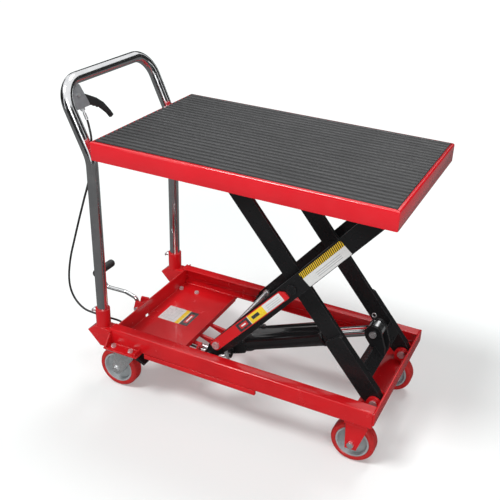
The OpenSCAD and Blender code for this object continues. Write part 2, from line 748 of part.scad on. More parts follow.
// Cross rod at the top of the inner arms and the axles of the upper rollers.
module inner_shafts() {
    color([0.3, 0.3, 0.31]) placed() inner_frame() {
        pin_y(arm_len, 0, 6, -b_in + 6.5, -a_in - 0.02);
        pin_y(arm_len, 0, 6, a_in + 0.02, b_in - 6.5);
        pin_y(arm_len - 70, 0, 12, -a_in + 0.05, a_in - 0.05);
        for (s = [-1, 1]) pin_y(arm_len, 0, 9, s * (a_in - 2) - 1.95, s * (a_in - 2) + 1.95);
    }
}

module roller(x, z, y0, y1) {
    difference() {
        pin_y(x, z, roll_r, y0, y1);
        pin_y(x, z, 6.05, y0 - 1, y1 + 1);
    }
}

module roller_upper_right() {
    color([0.55, 0.56, 0.57]) placed() roller(roll_x, top_z, -b_in + 6, -a_out - 2);
}

module roller_upper_left() {
    color([0.55, 0.56, 0.57]) placed() roller(roll_x, top_z, a_out + 2, b_in - 6);
}

// Flat shape of an outer arm: the lower end is cut back to clear the floor pan.
module outer_shape() {
    h = arm_w / 2;
    difference() {
        union() {
            circle(r = 16);
            translate([arm_len, 0]) circle(r = 19);
            polygon([[-15, 4], [-15, -6], [-4, -16], [4, -16], [100, -h], [arm_len - 50, -h], [arm_len, -19],
                [arm_len, 19], [arm_len - 50, h], [34, h]]);
        }
        circle(r = 7.02);
        translate([arm_len / 2, 0]) circle(r = 10.05);
        translate([arm_len, 0]) circle(r = 8.05);
        translate([57, 10]) circle(r = 7.02);
    }
}

module outer_arm() {
    outer_frame() slab(-b_out, -b_in) outer_shape();
}

module arm_outer_right() { color([0.05, 0.05, 0.055]) placed() outer_arm(); }
module arm_outer_left() { color([0.05, 0.05, 0.055]) placed() mirror([0, 1, 0]) outer_arm(); }

// Cross tube near the upper ends of the outer arms.
module outer_tube() {
    color([0.05, 0.05, 0.055]) placed() outer_frame() difference() {
        pin_y(arm_len - 72, 0, 15, -b_in + 0.05, b_in - 0.05);
        pin_y(arm_len - 72, 0, 12, -b_in - 1, b_in + 1);
    }
}

// Lower tie rod with its end nuts, and the axles of the lower rollers.
module outer_shafts() {
    color([0.78, 0.8, 0.82]) placed() outer_frame() {
        pin_y(57, 10, 7, -b_out - 9, b_out + 6);
        hex_y(57, 10, 11, b_out + 0.05, b_out + 6);
        for (s = [-1, 1]) pin_y(57, 10, 10, s * (b_in - 3) - 2.95, s * (b_in - 3) + 2.95);
        pin_y(57, 10, 11, -b_out - 12, -b_out - 7.5);
        pin_y(0, 0, 7, -rail_out + rail_t + 3, -b_in + 2);
        pin_y(0, 0, 7, b_in - 2, rail_out - rail_t - 3);
        for (s = [-1, 1]) pin_y(0, 0, 11, s * (b_out + 4) - 3.95, s * (b_out + 4) + 3.95);
    }
}

// Centre pins that join the two pairs of arms, with a spacer between them.
module centre_pins() {
    color([0.3, 0.3, 0.31]) placed() both() {
        pin_y(cen_x, cen_z, 10, -b_out - 4, -a_in + 5);
        pin_y(cen_x, cen_z, 16, -b_in + 0.05, -a_out - 1);
        pin_y(cen_x, cen_z, 13, -b_out - 5, -b_out - 0.05);
        pin_y(cen_x, cen_z, 13, -a_in + 1, -a_in + 5);
    }
}

module lower_roller(y0, y1) {
    difference() {
        pin_y(roll_x, piv_z, roll_r, y0, y1);
        pin_y(roll_x, piv_z, 7.05, y0 - 1, y1 + 1);
    }
}

module roller_lower_right() {
    color([0.55, 0.56, 0.57]) placed() lower_roller(-rail_out + rail_t + 5, -rail_in + 7);
}

module roller_lower_left() {
    color([0.55, 0.56, 0.57]) placed() lower_roller(rail_in - 7, rail_out - rail_t - 5);
}

// Red safety bar, folded along the right outer arm.
module safety_bar() {
    color([0.8, 0.08, 0.08]) placed() outer_frame() translate([57, 0, 10]) rotate([0, 1.5, 0])
        slab(-b_out - 7, -b_out - 1) difference() {
            polygon([[-15, -9], [-15, 10], [-9, 15], [288, 15], [302, 4], [302, -15], [-9, -15]]);
            circle(r = 7.05);
        }
}

// Table top: sheet and skirt folded from one piece.
module table_top() {
    color([0.85, 0.08, 0.1]) placed() difference() {
        translate([0, -half_w, skirt_z]) cube([table_len, table_w, skirt_h]);
        translate([3, -half_w + 3, skirt_z - 1]) cube([table_len - 6, table_w - 6, skirt_h - 2]);
    }
}

// Ribbed mat.
module mat() {
    n = 35;
    w = table_w - 18;
    p = w / n;
    color([0.08, 0.08, 0.085]) placed() {
        translate([9, -w / 2, table_z + 0.05]) cube([table_len - 18, w, mat_t - 1.2]);
        for (k = [0 : n - 1])
            translate([9, -w / 2 + (k + 0.2) * p, table_z + 1]) cube([table_len - 18, 0.6 * p, mat_t - 1]);
    }
}

// Roller tracks at the rear and hinge brackets at the front, under the sheet.
module table_frame() {
    y1 = b_in - 1;
    y0 = a_out + 2;
    tl = 470;
    color([0.8, 0.08, 0.08]) placed() both() {
        translate([4, -y1, sheet_z - 4.05]) cube([tl, y1 - y0, 4]);
        translate([4, -y1, track_z0]) cube([tl, y1 - y0, 4]);
        translate([4, -y1, track_z0]) cube([tl, 4, sheet_z - track_z0 - 0.05]);
        for (y = [-b_out - 12, -b_in + 4])
            slab(y, y + 8) difference() {
                union() {
                    translate([piv_x, top_z]) circle(r = 20);
                    translate([piv_x - 26, top_z]) square([46, sheet_z - top_z - 0.05]);
                }
                translate([piv_x, top_z]) circle(r = 8.05);
            }
    }
}

// Hinge pins at the front of the table.
module table_pins() {
    color([0.8, 0.82, 0.84]) placed() both() {
        pin_y(piv_x, top_z, 8, -b_out - 15, -b_in + 15);
        pin_y(piv_x, top_z, 11, -b_out - 17, -b_out - 12.05);
    }
}

module tread(x, y) {
    difference() {
        union() {
            pin_y(x, wheel_r, wheel_r, y - tread_w / 2 + 3, y + tread_w / 2 - 3);
            pin_y(x, wheel_r, wheel_r - 3, y - tread_w / 2, y + tread_w / 2);
        }
        pin_y(x, wheel_r, hub_r + 0.02, y - 40, y + 40);
    }
}

module hub(x, y) {
    w = tread_w / 2;
    difference() {
        pin_y(x, wheel_r, hub_r, y - w + 1, y + w - 1);
        for (e = [-1, 1]) {
            difference() {
                pin_y(x, wheel_r, hub_r - 5, y + e * w - 10, y + e * w + 10);
                pin_y(x, wheel_r, 17, y - 60, y + 60);
            }
        }
        pin_y(x, wheel_r, 6.05, y - 40, y + 40);
    }
    pin_ring(x, y, w);
}

// Hub collar that keeps the wheel off the fork.
module pin_ring(x, y, w) {
    difference() {
        pin_y(x, wheel_r, 11, y - w - 2.5, y + w + 2.5);
        pin_y(x, wheel_r, 6.05, y - 60, y + 60);
    }
}

module front_tread_right() { color([0.7, 0.07, 0.07]) placed() tread(fw_x, -fw_y); }
module front_hub_right() { color([0.5, 0.52, 0.53]) placed() hub(fw_x, -fw_y); }
module front_tread_left() { color([0.7, 0.07, 0.07]) placed() tread(fw_x, fw_y); }
module front_hub_left() { color([0.5, 0.52, 0.53]) placed() hub(fw_x, fw_y); }

// Swivel fork: round crown, king pin, two legs and the axle bolt.
module caster_fork(s) {
    w = tread_w / 2;
    ax = cast_x - trail;
    color([0.72, 0.73, 0.75]) placed() translate([0, s * cast_y, 0]) {
        translate([cast_x, 0, rail_z0 - 16]) cylinder(h = 5.5, r = 33);
        translate([cast_x, 0, rail_z0 - 16]) cylinder(h = 13, r = 8);
        difference() {
            translate([cast_x - 36, -w - 8, rail_z0 - 20]) cube([66, tread_w + 16, 4.5]);
            translate([cast_x - 70, -w - 3.5, wheel_d - 30]) cube([34, tread_w + 7, 50]);
        }
        for (y = [-w - 8, w + 4])
            slab(y, y + 4) difference() {
                polygon([[cast_x - 36, rail_z0 - 16], [cast_x + 30, rail_z0 - 16], [cast_x + 26, rail_z0 - 34],
                    [ax + 16, wheel_r - 10], [ax + 8, wheel_r - 15], [ax - 8, wheel_r - 15],
                    [ax - 15, wheel_r], [cast_x - 38, rail_z0 - 34]]);
                translate([ax, wheel_r]) circle(r = 5.9);
            }
        pin_y(ax, wheel_r, 6, -w - 12, w + 12);
        hex_y(ax, wheel_r, 9.5, -w - 13, -w - 7.9);
        hex_y(ax, wheel_r, 9.5, w + 7.9, w + 13);
        pin_y(cast_x + 21, rail_z0 - 31, 4, -w - 8, w + 8);
    }
}

module caster_fork_right() { caster_fork(-1); }
module caster_fork_left() { caster_fork(1); }

// Foot brake of a caster, hung on the cross pin of the fork.
module brake(s) {
    x = cast_x + 21;
    z = rail_z0 - 31;
    color([0.06, 0.06, 0.065]) placed() translate([0, s * cast_y, 0]) difference() {
        union() {
            pin_y(x, z, 8, -tread_w / 2 + 1, tread_w / 2 - 1);
            slab(-tread_w / 2 + 1, tread_w / 2 - 1) polygon([[x, z - 8], [x + 8, z - 6], [x + 38, z - 17],
                [x + 41, z - 12], [x + 10, z + 6], [x, z + 8]]);
        }
        pin_y(x, z, 4.05, -60, 60);
    }
}

module brake_right() { brake(-1); }
module brake_left() { brake(1); }

module rear_tread_right() { color([0.7, 0.07, 0.07]) placed() tread(cast_x - trail, -cast_y); }
module rear_hub_right() { color([0.5, 0.52, 0.53]) placed() hub(cast_x - trail, -cast_y); }
module rear_tread_left() { color([0.7, 0.07, 0.07]) placed() tread(cast_x - trail, cast_y); }
module rear_hub_left() { color([0.5, 0.52, 0.53]) placed() hub(cast_x - trail, cast_y); }

rail_right();
rail_left();
front_bar();
front_beam();
front_ears();
base_pins();
front_forks();
floor_pan();
handle_sockets();
clamp_screws();
caster_flanges();
caster_plates();
pump_bar();
handle_tube();
lever_bracket();
lever_hardware();
release_cable();
pedal_bracket();
release_lever();
release_wire();
pedal_rod();
pedal_rubber();
push_rod();
pump_block();
tank();
gland();
plunger();
valve_lever();
ram();
arm_inner_right();
arm_inner_left();
ram_cross();
ram_pin();
inner_shafts();
roller_upper_right();
roller_upper_left();
arm_outer_right();
arm_outer_left();
outer_tube();
outer_shafts();
centre_pins();
roller_lower_right();
roller_lower_left();
safety_bar();
table_top();
mat();
table_frame();
table_pins();
front_tread_right();
front_hub_right();
front_tread_left();
front_hub_left();
caster_fork_right();
brake_right();
rear_tread_right();
rear_hub_right();
caster_fork_left();
brake_left();
rear_tread_left();
rear_hub_left();
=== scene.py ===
import math

import bmesh
import bpy
import numpy as np
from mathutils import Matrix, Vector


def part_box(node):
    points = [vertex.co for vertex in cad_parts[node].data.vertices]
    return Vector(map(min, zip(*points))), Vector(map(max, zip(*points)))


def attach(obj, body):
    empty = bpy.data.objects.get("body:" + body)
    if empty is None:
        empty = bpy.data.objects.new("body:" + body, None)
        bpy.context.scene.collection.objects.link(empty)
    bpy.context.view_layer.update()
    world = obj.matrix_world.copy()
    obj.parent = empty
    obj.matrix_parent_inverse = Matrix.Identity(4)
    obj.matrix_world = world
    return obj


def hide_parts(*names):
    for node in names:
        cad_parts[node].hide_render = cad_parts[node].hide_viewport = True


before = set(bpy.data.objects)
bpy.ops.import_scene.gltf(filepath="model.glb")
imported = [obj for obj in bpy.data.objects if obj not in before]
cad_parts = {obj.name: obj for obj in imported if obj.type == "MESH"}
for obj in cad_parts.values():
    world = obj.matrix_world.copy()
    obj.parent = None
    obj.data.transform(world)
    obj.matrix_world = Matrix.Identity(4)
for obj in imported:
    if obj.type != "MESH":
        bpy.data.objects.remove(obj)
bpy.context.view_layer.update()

# ---------------------------------------------------------------------------
# Camera and studio. A still camera stands to the right of the table and a
# little above it; the table stands on a plain white floor under a soft sky
# and three broad lamps.

scene = bpy.context.scene
scene.view_settings.view_transform = "Standard"

still = bpy.data.cameras.new("still_camera")
still.lens = 55.4
still.sensor_width = 36.0
still.shift_x = -0.068
still.shift_y = 0.0083
still.clip_end = 60.0
still_camera = bpy.data.objects.new("still_camera", still)
scene.collection.objects.link(still_camera)
camera_tilt, camera_roll, camera_heading = 61.726, -2.790, 24.601
still_camera.location = (0.8622, -1.7302, 1.4742)
still_camera.rotation_euler = [math.radians(a) for a in (camera_tilt, camera_roll, camera_heading)]
scene.camera = still_camera


def seen_directly(tree):
    """1 where a ray comes straight from the camera, off a mirror or through glass, and 0 for the rays
    that light things."""
    path = tree.nodes.new("ShaderNodeLightPath")
    first = tree.nodes.new("ShaderNodeMath")
    first.operation = "MAXIMUM"
    both = tree.nodes.new("ShaderNodeMath")
    both.operation = "MAXIMUM"
    tree.links.new(path.outputs["Is Camera Ray"], first.inputs[0])
    tree.links.new(path.outputs["Is Transmission Ray"], first.inputs[1])
    tree.links.new(first.outputs[0], both.inputs[0])
    tree.links.new(path.outputs["Is Glossy Ray"], both.inputs[1])
    return both.outputs[0]


sky = bpy.data.worlds.new("studio_sky")
sky.use_nodes = True
scene.world = sky
sky_tree = sky.node_tree
sky_back = sky_tree.nodes["Background"]
sky_back.inputs["Color"].default_value = (1.0, 1.0, 1.0, 1.0)
sky_level = sky_tree.nodes.new("ShaderNodeMapRange")
sky_level.inputs["To Min"].default_value = 0.34
sky_level.inputs["To Max"].default_value = 1.0
sky_tree.links.new(seen_directly(sky_tree), sky_level.inputs["Value"])
sky_tree.links.new(sky_level.outputs[0], sky_back.inputs["Strength"])

for lamp_name, power, spread, aim in (
        ("key_lamp", 1.60, 18.0, (-0.36, -0.42, 0.95)),
        ("back_lamp", 0.75, 20.0, (0.05, 0.62, 1.40)),
        ("side_lamp", 0.95, 28.0, (0.8, -1.25, 0.75))):
    lamp = bpy.data.lights.new(lamp_name, "SUN")
    lamp.energy = power
    lamp.angle = math.radians(spread)
    lamp_object = bpy.data.objects.new(lamp_name, lamp)
    scene.collection.objects.link(lamp_object)
    away = np.array(aim) / np.linalg.norm(aim)
    turn = math.atan2(away[1], away[0])
    tip = math.acos(away[2])
    lamp_object.rotation_euler = (0.0, tip, turn)

# A ring of dark cloth stands far round the set, with a few narrow gaps, on grey ground. Both show only in
# glossy surfaces.
set_radius = 4.2
cloth_low, cloth_high = 0.02, 3.1
gaps = (5, 11, 12, 19, 26, 33)
ground_height = 4e-6
floor_half = 14.0
bearing = np.radians(np.arange(-180, 181, 10))
ring = set_radius * np.stack([np.cos(bearing), np.sin(bearing)], 1)
ring_points = np.concatenate([np.hstack([ring, np.full((len(ring), 1), h)]) for h in (cloth_low, cloth_high)])
start = np.array([k for k in range(len(ring) - 1) if k not in gaps])
ring_faces = np.stack([start, start + 1, start + 1 + len(ring), start + len(ring)], 1)


def set_piece(name, points, faces):
    """A mesh that belongs to the studio and not to the table."""
    mesh = bpy.data.meshes.new(name)
    mesh.from_pydata(points, [], faces)
    thing = bpy.data.objects.new(name, mesh)
    scene.collection.objects.link(thing)
    return thing


def square(half, height):
    """The corners of a level square about the middle of the set."""
    return [(-half, -half, height), (half, -half, height), (half, half, height), (-half, half, height)]


dark_surround = set_piece("dark_surround", ring_points.tolist(), ring_faces.tolist())
grey_ground = set_piece("grey_ground", square(set_radius, ground_height), [(0, 1, 2, 3)])
for screen, cloth_name, grey in ((dark_surround, "black_cloth", 0.03), (grey_ground, "grey_cloth", 0.13)):
    screen.visible_camera = False
    screen.visible_diffuse = False
    screen.visible_shadow = False
    screen.visible_transmission = False
    cloth = bpy.data.materials.new(cloth_name)
    cloth.use_nodes = True
    cloth_shader = cloth.node_tree.nodes["Principled BSDF"]
    cloth_shader.inputs["Base Color"].default_value = (grey, grey, grey, 1.0)
    cloth_shader.inputs["Specular IOR Level"].default_value = 0.0
    screen.data.materials.append(cloth)

studio_floor = set_piece("studio_floor", square(floor_half, 0.0), [(0, 1, 2, 3)])
floor_finish = bpy.data.materials.new("floor_white")
floor_finish.use_nodes = True
floor_tree = floor_finish.node_tree
floor_paint = floor_tree.nodes["Principled BSDF"]
floor_paint.inputs["Base Color"].default_value = (0.83, 0.865, 0.86, 1.0)
floor_paint.inputs["Roughness"].default_value = 0.9
floor_paint.inputs["Specular IOR Level"].default_value = 0.0
floor_paint.inputs["Emission Color"].default_value = (1.0, 1.0, 1.0, 1.0)
floor_glow = floor_tree.nodes.new("ShaderNodeMapRange")
floor_glow.inputs["To Min"].default_value = 0.0
floor_glow.inputs["To Max"].default_value = 0.12
floor_tree.links.new(seen_directly(floor_tree), floor_glow.inputs["Value"])
floor_tree.links.new(floor_glow.outputs[0], floor_paint.inputs["Emission Strength"])
studio_floor.data.materials.append(floor_finish)

# ---------------------------------------------------------------------------
# Release cable. A black plastic-sheathed control cable, 6 mm thick. It leaves
# the threaded sleeve under the lever bracket, bows out behind the right leg
# of the handle, and runs under the floor pan to the clamp at the pump.

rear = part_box("table_top")[0].x
bar_top = 0.900
lean = math.radians(24.5)
leg_x = -0.037
leg_y = 0.198
knee_height = 0.712
lean_length = (bar_top - knee_height) / math.cos(lean)
sleeve_end = 0.110
sheath_radius = 0.003
route = np.array([
    [leg_x + (sleeve_end - lean_length) * math.sin(lean), -0.154, bar_top - sleeve_end * math.cos(lean)],
    [-0.072, -0.155, 0.783], [-0.061, -0.163, 0.752], [-0.062, -0.170, 0.700],
    [-0.072, -0.172, 0.638], [-0.094, -0.173, 0.572], [-0.115, -0.173, 0.511], [-0.140, -0.173, 0.435],
    [-0.158, -0.173, 0.378], [-0.170, -0.173, 0.321], [-0.172, -0.173, 0.279], [-0.165, -0.172, 0.246],
    [-0.147, -0.172, 0.220], [-0.122, -0.170, 0.203], [-0.092, -0.160, 0.192], [-0.066, -0.135, 0.172],
    [-0.051, -0.112, 0.154], [-0.030, -0.104, 0.143], [0.000, -0.099, 0.140], [0.050, -0.094, 0.139],
    [0.110, -0.090, 0.137], [0.165, -0.087, 0.131], [0.200, -0.086, 0.127], [0.2169, -0.086, 0.126]])
route[:, 0] += rear


def through(points, steps):
    """A smooth curve through points: each span is the cubic whose slope at a point is half the way
    between that point's neighbours."""
    n = len(points) - 1
    i = np.repeat(np.arange(n), steps)
    t = np.tile(np.arange(steps) / steps, n)[:, None]
    a, b = points[np.maximum(i - 1, 0)], points[i]
    c, d = points[i + 1], points[np.minimum(i + 2, n)]
    run = 0.5 * (2 * b + (c - a) * t + (2 * a - 5 * b + 4 * c - d) * t ** 2
                 + (3 * b - a - 3 * c + d) * t ** 3)
    return np.vstack([run, points[-1:]])


def finish_of(name):
    """A new material with its node tree and its main shader."""
    made = bpy.data.materials.new(name)
    made.use_nodes = True
    return made, made.node_tree, made.node_tree.nodes["Principled BSDF"]


def coordinates(tree, kind="Object", stretch=(1.0, 1.0, 1.0), turn=(0.0, 0.0, 0.0)):
    """Places on the piece itself, in metres, or its own sheet map, scaled and turned."""
    source = tree.nodes.new("ShaderNodeTexCoord")
    mapped = tree.nodes.new("ShaderNodeMapping")
    mapped.inputs["Scale"].default_value = stretch
    mapped.inputs["Rotation"].default_value = turn
    tree.links.new(source.outputs[kind], mapped.inputs["Vector"])
    return mapped.outputs[0]


def speckle(tree, where, scale, detail=4.0, rough=0.55, low=0.3, high=0.7, to_low=0.0, to_high=1.0):
    """Cloudy noise of that many lumps a metre, with its middle range spread from to_low to to_high."""
    noise = tree.nodes.new("ShaderNodeTexNoise")
    noise.inputs["Scale"].default_value = scale
    noise.inputs["Detail"].default_value = detail
    noise.inputs["Roughness"].default_value = rough
    tree.links.new(where, noise.inputs["Vector"])
    spread = tree.nodes.new("ShaderNodeMapRange")
    spread.inputs["From Min"].default_value = low
    spread.inputs["From Max"].default_value = high
    spread.inputs["To Min"].default_value = to_low
    spread.inputs["To Max"].default_value = to_high
    tree.links.new(noise.outputs["Fac"], spread.inputs["Value"])
    return spread.outputs[0]


def blend_of(tree, amount, first, second):
    """Goes from the first colour to the second as amount goes from 0 to 1; either may be a socket."""
    mix = tree.nodes.new("ShaderNodeMix")
    mix.data_type = "RGBA"
    if isinstance(amount, (int, float)):
        mix.inputs[0].default_value = amount
    else:
        tree.links.new(amount, mix.inputs[0])
    for socket, colour in ((mix.inputs[6], first), (mix.inputs[7], second)):
        if isinstance(colour, tuple):
            socket.default_value = (*colour, 1.0)
        else:
            tree.links.new(colour, socket)
    return mix.outputs[2]


def sums(tree, how, first, second):
    """One step of arithmetic on two values, either of which may be a number."""
    step = tree.nodes.new("ShaderNodeMath")
    step.operation = how
    for socket, value in ((step.inputs[0], first), (step.inputs[1], second)):
        if isinstance(value, (int, float)):
            socket.default_value = value
        else:
            tree.links.new(value, socket)
    return step.outputs[0]


def rough_skin(tree, shader, height, depth, strength=0.5, round_edges=0.0):
    """Bump of that depth in metres from a height between 0 and 1, on edges that look rounded to the
    given radius."""
    bump = tree.nodes.new("ShaderNodeBump")
    bump.inputs["Strength"].default_value = strength
    bump.inputs["Distance"].default_value = depth
    tree.links.new(height, bump.inputs["Height"])
    if round_edges:
        edge = tree.nodes.new("ShaderNodeBevel")
        edge.samples = 6
        edge.inputs["Radius"].default_value = round_edges
        tree.links.new(edge.outputs[0], bump.inputs["Normal"])
    tree.links.new(bump.outputs[0], shader.inputs["Normal"])


def edge_wear_and_highlight(tree, radius, low=0.02, high=0.35):
    """1 on the outer edges of a sharp-edged part and 0 on its flats: how far the rounded normal leans
    away from the true one."""
    edge = tree.nodes.new("ShaderNodeBevel")
    edge.samples = 6
    edge.inputs["Radius"].default_value = radius
    true = tree.nodes.new("ShaderNodeNewGeometry")
    dot = tree.nodes.new("ShaderNodeVectorMath")
    dot.operation = "DOT_PRODUCT"
    tree.links.new(edge.outputs[0], dot.inputs[0])
    tree.links.new(true.outputs["Normal"], dot.inputs[1])
    leaning = tree.nodes.new("ShaderNodeMapRange")
    leaning.inputs["From Min"].default_value = 1.0 - low
    leaning.inputs["From Max"].default_value = 1.0 - high
    tree.links.new(dot.outputs["Value"], leaning.inputs["Value"])
    return leaning.outputs[0]


def mottled(name, first, second, cloud, gloss, skin, metal=0.0, edge=0.0):
    """A finish that drifts between two colours. cloud is (lumps a metre, detail, roughness) of the
    drift, gloss is one roughness or (lumps, detail, from, to), and skin is (lumps, detail, depth in
    metres, strength) of the bump."""
    made, tree, shader = finish_of(name)
    where = coordinates(tree)
    tree.links.new(blend_of(tree, speckle(tree, where, *cloud), first, second), shader.inputs["Base Color"])
    shader.inputs["Metallic"].default_value = metal
    if isinstance(gloss, tuple):
        lumps, detail, least, most = gloss
        patches = speckle(tree, where, lumps, detail, 0.6, 0.3, 0.7, least, most)
        tree.links.new(patches, shader.inputs["Roughness"])
    else:
        shader.inputs["Roughness"].default_value = gloss
    lumps, detail, depth, strength = skin
    rough_skin(tree, shader, speckle(tree, where, lumps, detail), depth, strength, edge)
    return made


cable_black = mottled("cable_black", (0.010, 0.010, 0.011), (0.028, 0.028, 0.030), (120, 4.0, 0.55), 0.42,
                      (1500, 2.0, 0.0002, 0.35))

sheath = bpy.data.curves.new("release_cable_sheath", "CURVE")
sheath.dimensions = "3D"
sheath.bevel_depth = sheath_radius
sheath.bevel_resolution = 4
sheath.use_fill_caps = True
run = through(route, 6)
line = sheath.splines.new("POLY")
line.points.add(len(run) - 1)
line.points.foreach_set("co", np.hstack([run, np.ones((len(run), 1))]).ravel())
line.use_smooth = True
sheath.materials.append(cable_black)
cable = bpy.data.objects.new("release_cable_sheath", sheath)
scene.collection.objects.link(cable)
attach(cable, "base")
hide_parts("release_cable")

# ---------------------------------------------------------------------------
# Bent push handle. 32 mm chrome-plated steel tube, one length: two upright
# legs, a knee where they lean back, and two corner bends into the hand bar.


def quads(rows, columns, wrap_rows=False, wrap_columns=False):
    """Faces of a grid of points: each joins a point to the next along the row and to the same two of
    the next row."""
    i = np.arange(rows if wrap_rows else rows - 1)[:, None]
    j = np.arange(columns if wrap_columns else columns - 1)[None, :]
    i2, j2 = (i + 1) % rows, (j + 1) % columns
    return np.stack([i * columns + j + 0 * i2, i2 * columns + j, i2 * columns + j2, i * columns + j2],
                    -1).reshape(-1, 4)


def piece(name, parts, body, finish, stands_for=(), crease=32.0, chart=None):
    """A mesh object from one or more (points, faces) pairs, closed where its points meet, facing
    outwards, with edges sharper than the crease angle kept sharp. A chart gives each point its place on
    a flat map, from 0 to 1."""
    shape = bmesh.new()
    sheet = shape.loops.layers.uv.new("chart") if chart is not None else None
    for points, faces in parts:
        made = [shape.verts.new(p) for p in np.asarray(points, float).tolist()]
        for f in faces:
            corners = [made[k] for k in f]
            if len(set(corners)) > 2:
                shape.faces.new(corners)
    bmesh.ops.remove_doubles(shape, verts=shape.verts, dist=2e-6)
    bmesh.ops.dissolve_degenerate(shape, edges=shape.edges, dist=1e-7)
    bmesh.ops.recalc_face_normals(shape, faces=shape.faces)
    if chart is not None:
        for f in shape.faces:
            for loop in f.loops:
                loop[sheet].uv = chart(loop.vert.co)
    mesh = bpy.data.meshes.new(name)
    shape.to_mesh(mesh)
    shape.free()
    mesh.shade_smooth()
    mesh.set_sharp_from_angle(angle=math.radians(crease))
    for one in (finish if isinstance(finish, (list, tuple)) else [finish]):
        mesh.materials.append(one)
    thing = bpy.data.objects.new(name, mesh)
    scene.collection.objects.link(thing)
    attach(thing, body)
    if stands_for:
        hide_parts(*stands_for)
    return thing


def bent(points, radius, step=4.0):
    """A line through corner points in space, with each inner corner turned into an arc of the given
    radius."""
    points = np.asarray(points, float)
    run = [points[:1]]
    for before, corner, after in zip(points[:-2], points[1:-1], points[2:]):
        a = (before - corner) / np.linalg.norm(before - corner)
        b = (after - corner) / np.linalg.norm(after - corner)
        half = math.acos(float(np.clip(a @ b, -1, 1))) / 2
        r = radius if np.isscalar(radius) else radius[len(run) - 1]
        cut = r / math.tan(half)
        middle = corner + (a + b) / np.linalg.norm(a + b) * r / math.sin(half)
        first, last = corner + a * cut - middle, corner + b * cut - middle
        turn = math.pi - 2 * half
        n = max(4, int(math.degrees(turn) / step))
        t = np.linspace(0, 1, n + 1)[:, None] * turn
        run.append(middle + (np.sin(turn - t) * first + np.sin(t) * last) / math.sin(turn))
    run.append(points[-1:])
    return np.vstack(run)


def tube(path, radius, side=(0.0, 1.0, 0.0), around=32, bore=None):
    """A round section carried along a path: path point plus radius times the cosine and sine of two
    directions square to the path, the first of them square to the side direction too. With a bore it is
    a pipe, else its ends are closed."""
    path = np.asarray(path, float)
    along = np.gradient(path, axis=0)
    along /= np.linalg.norm(along, axis=1)[:, None]
    u = np.cross(along, np.asarray(side, float))
    u /= np.linalg.norm(u, axis=1)[:, None]
    v = np.cross(along, u)
    a = np.linspace(0, 2 * math.pi, around, endpoint=False)[None, :, None]
    round_ = np.cos(a) * u[:, None] + np.sin(a) * v[:, None]
    radius = np.broadcast_to(np.asarray(radius, float), (len(path),))[:, None, None]
    n = len(path)
    if bore is None:
        first, last = (np.repeat(end[:, None], around, 1) for end in (path[:1], path[-1:]))
        rings = np.concatenate([first, path[:, None] + radius * round_, last])
        return rings.reshape(-1, 3), quads(n + 2, around, wrap_columns=True)
    rings = np.concatenate([path[:, None] + radius * round_, (path[:, None] + bore * round_)[::-1]])
    return rings.reshape(-1, 3), quads(2 * n, around, wrap_rows=True, wrap_columns=True)


chrome, tree, shader = finish_of("chrome_plate")
where = coordinates(tree)
shader.inputs["Metallic"].default_value = 1.0
tree.links.new(blend_of(tree, speckle(tree, where, 30), (0.70, 0.71, 0.73), (0.82, 0.83, 0.84)),
               shader.inputs["Base Color"])
smear = coordinates(tree, stretch=(1.0, 1.0, 0.12))
tree.links.new(speckle(tree, smear, 160, 6.0, 0.6, 0.35, 0.75, 0.07, 0.22), shader.inputs["Roughness"])
rough_skin(tree, shader, speckle(tree, smear, 900, 3.0), 0.0001, 0.12)

handle_radius, handle_bore = 0.016, 0.0135
knee_bend, corner_bend = 0.110, 0.068
foot_height = 0.196
foot = np.array([leg_x, 0.0, foot_height])
knee = np.array([leg_x, 0.0, knee_height])
corner = np.array([leg_x - lean_length * math.sin(lean), 0.0, bar_top])
reach = np.array([0.0, leg_y, 0.0])
handle_line = bent([foot - reach, knee - reach, corner - reach, corner + reach, knee + reach, foot + reach],
                   [knee_bend, corner_bend, corner_bend, knee_bend], 3.0) + [rear, 0, 0]
handle_pipe = tube(handle_line, handle_radius, side=(1.0, 0.0, 0.0), around=48, bore=handle_bore)
piece("push_handle", [handle_pipe], "base", chrome, ["handle_tube"], crease=50)

# ---------------------------------------------------------------------------
# Table top. One sheet of 3 mm steel with its edges folded down 50 mm into a
# skirt on all four sides, welded at the corners and sprayed gloss red.


def rounded(corners, radius, steps=5):
    """A closed flat outline with each corner turned into an arc of its radius."""
    corners = np.asarray(corners, float)
    before, after = np.roll(corners, 1, axis=0), np.roll(corners, -1, axis=0)
    radius = np.broadcast_to(np.asarray(radius, float), (len(corners),))
    out = []
    for a0, c, b0, r in zip(before, corners, after, radius):
        a = (a0 - c) / np.linalg.norm(a0 - c)
        b = (b0 - c) / np.linalg.norm(b0 - c)
        half = math.acos(float(np.clip(a @ b, -1, 1))) / 2
        if r <= 0 or abs(half - math.pi / 2) < 1e-3:
            out.append(c[None])
            continue
        middle = c + (a + b) / np.linalg.norm(a + b) * r / math.sin(half)
        first, last = c + a * r / math.tan(half) - middle, c + b * r / math.tan(half) - middle
        turn = math.pi - 2 * half
        t = np.linspace(0, 1, steps + 1)[:, None] * turn
        out.append(middle + (np.sin(turn - t) * first + np.sin(t) * last) / math.sin(turn))
    return np.vstack(out)


def oblong(a0, a1, b0, b1, radius, steps):
    """A rectangle from (a0, b0) to (a1, b1) with rounded corners."""
    return rounded([[a0, b0], [a1, b0], [a1, b1], [a0, b1]], radius, steps)


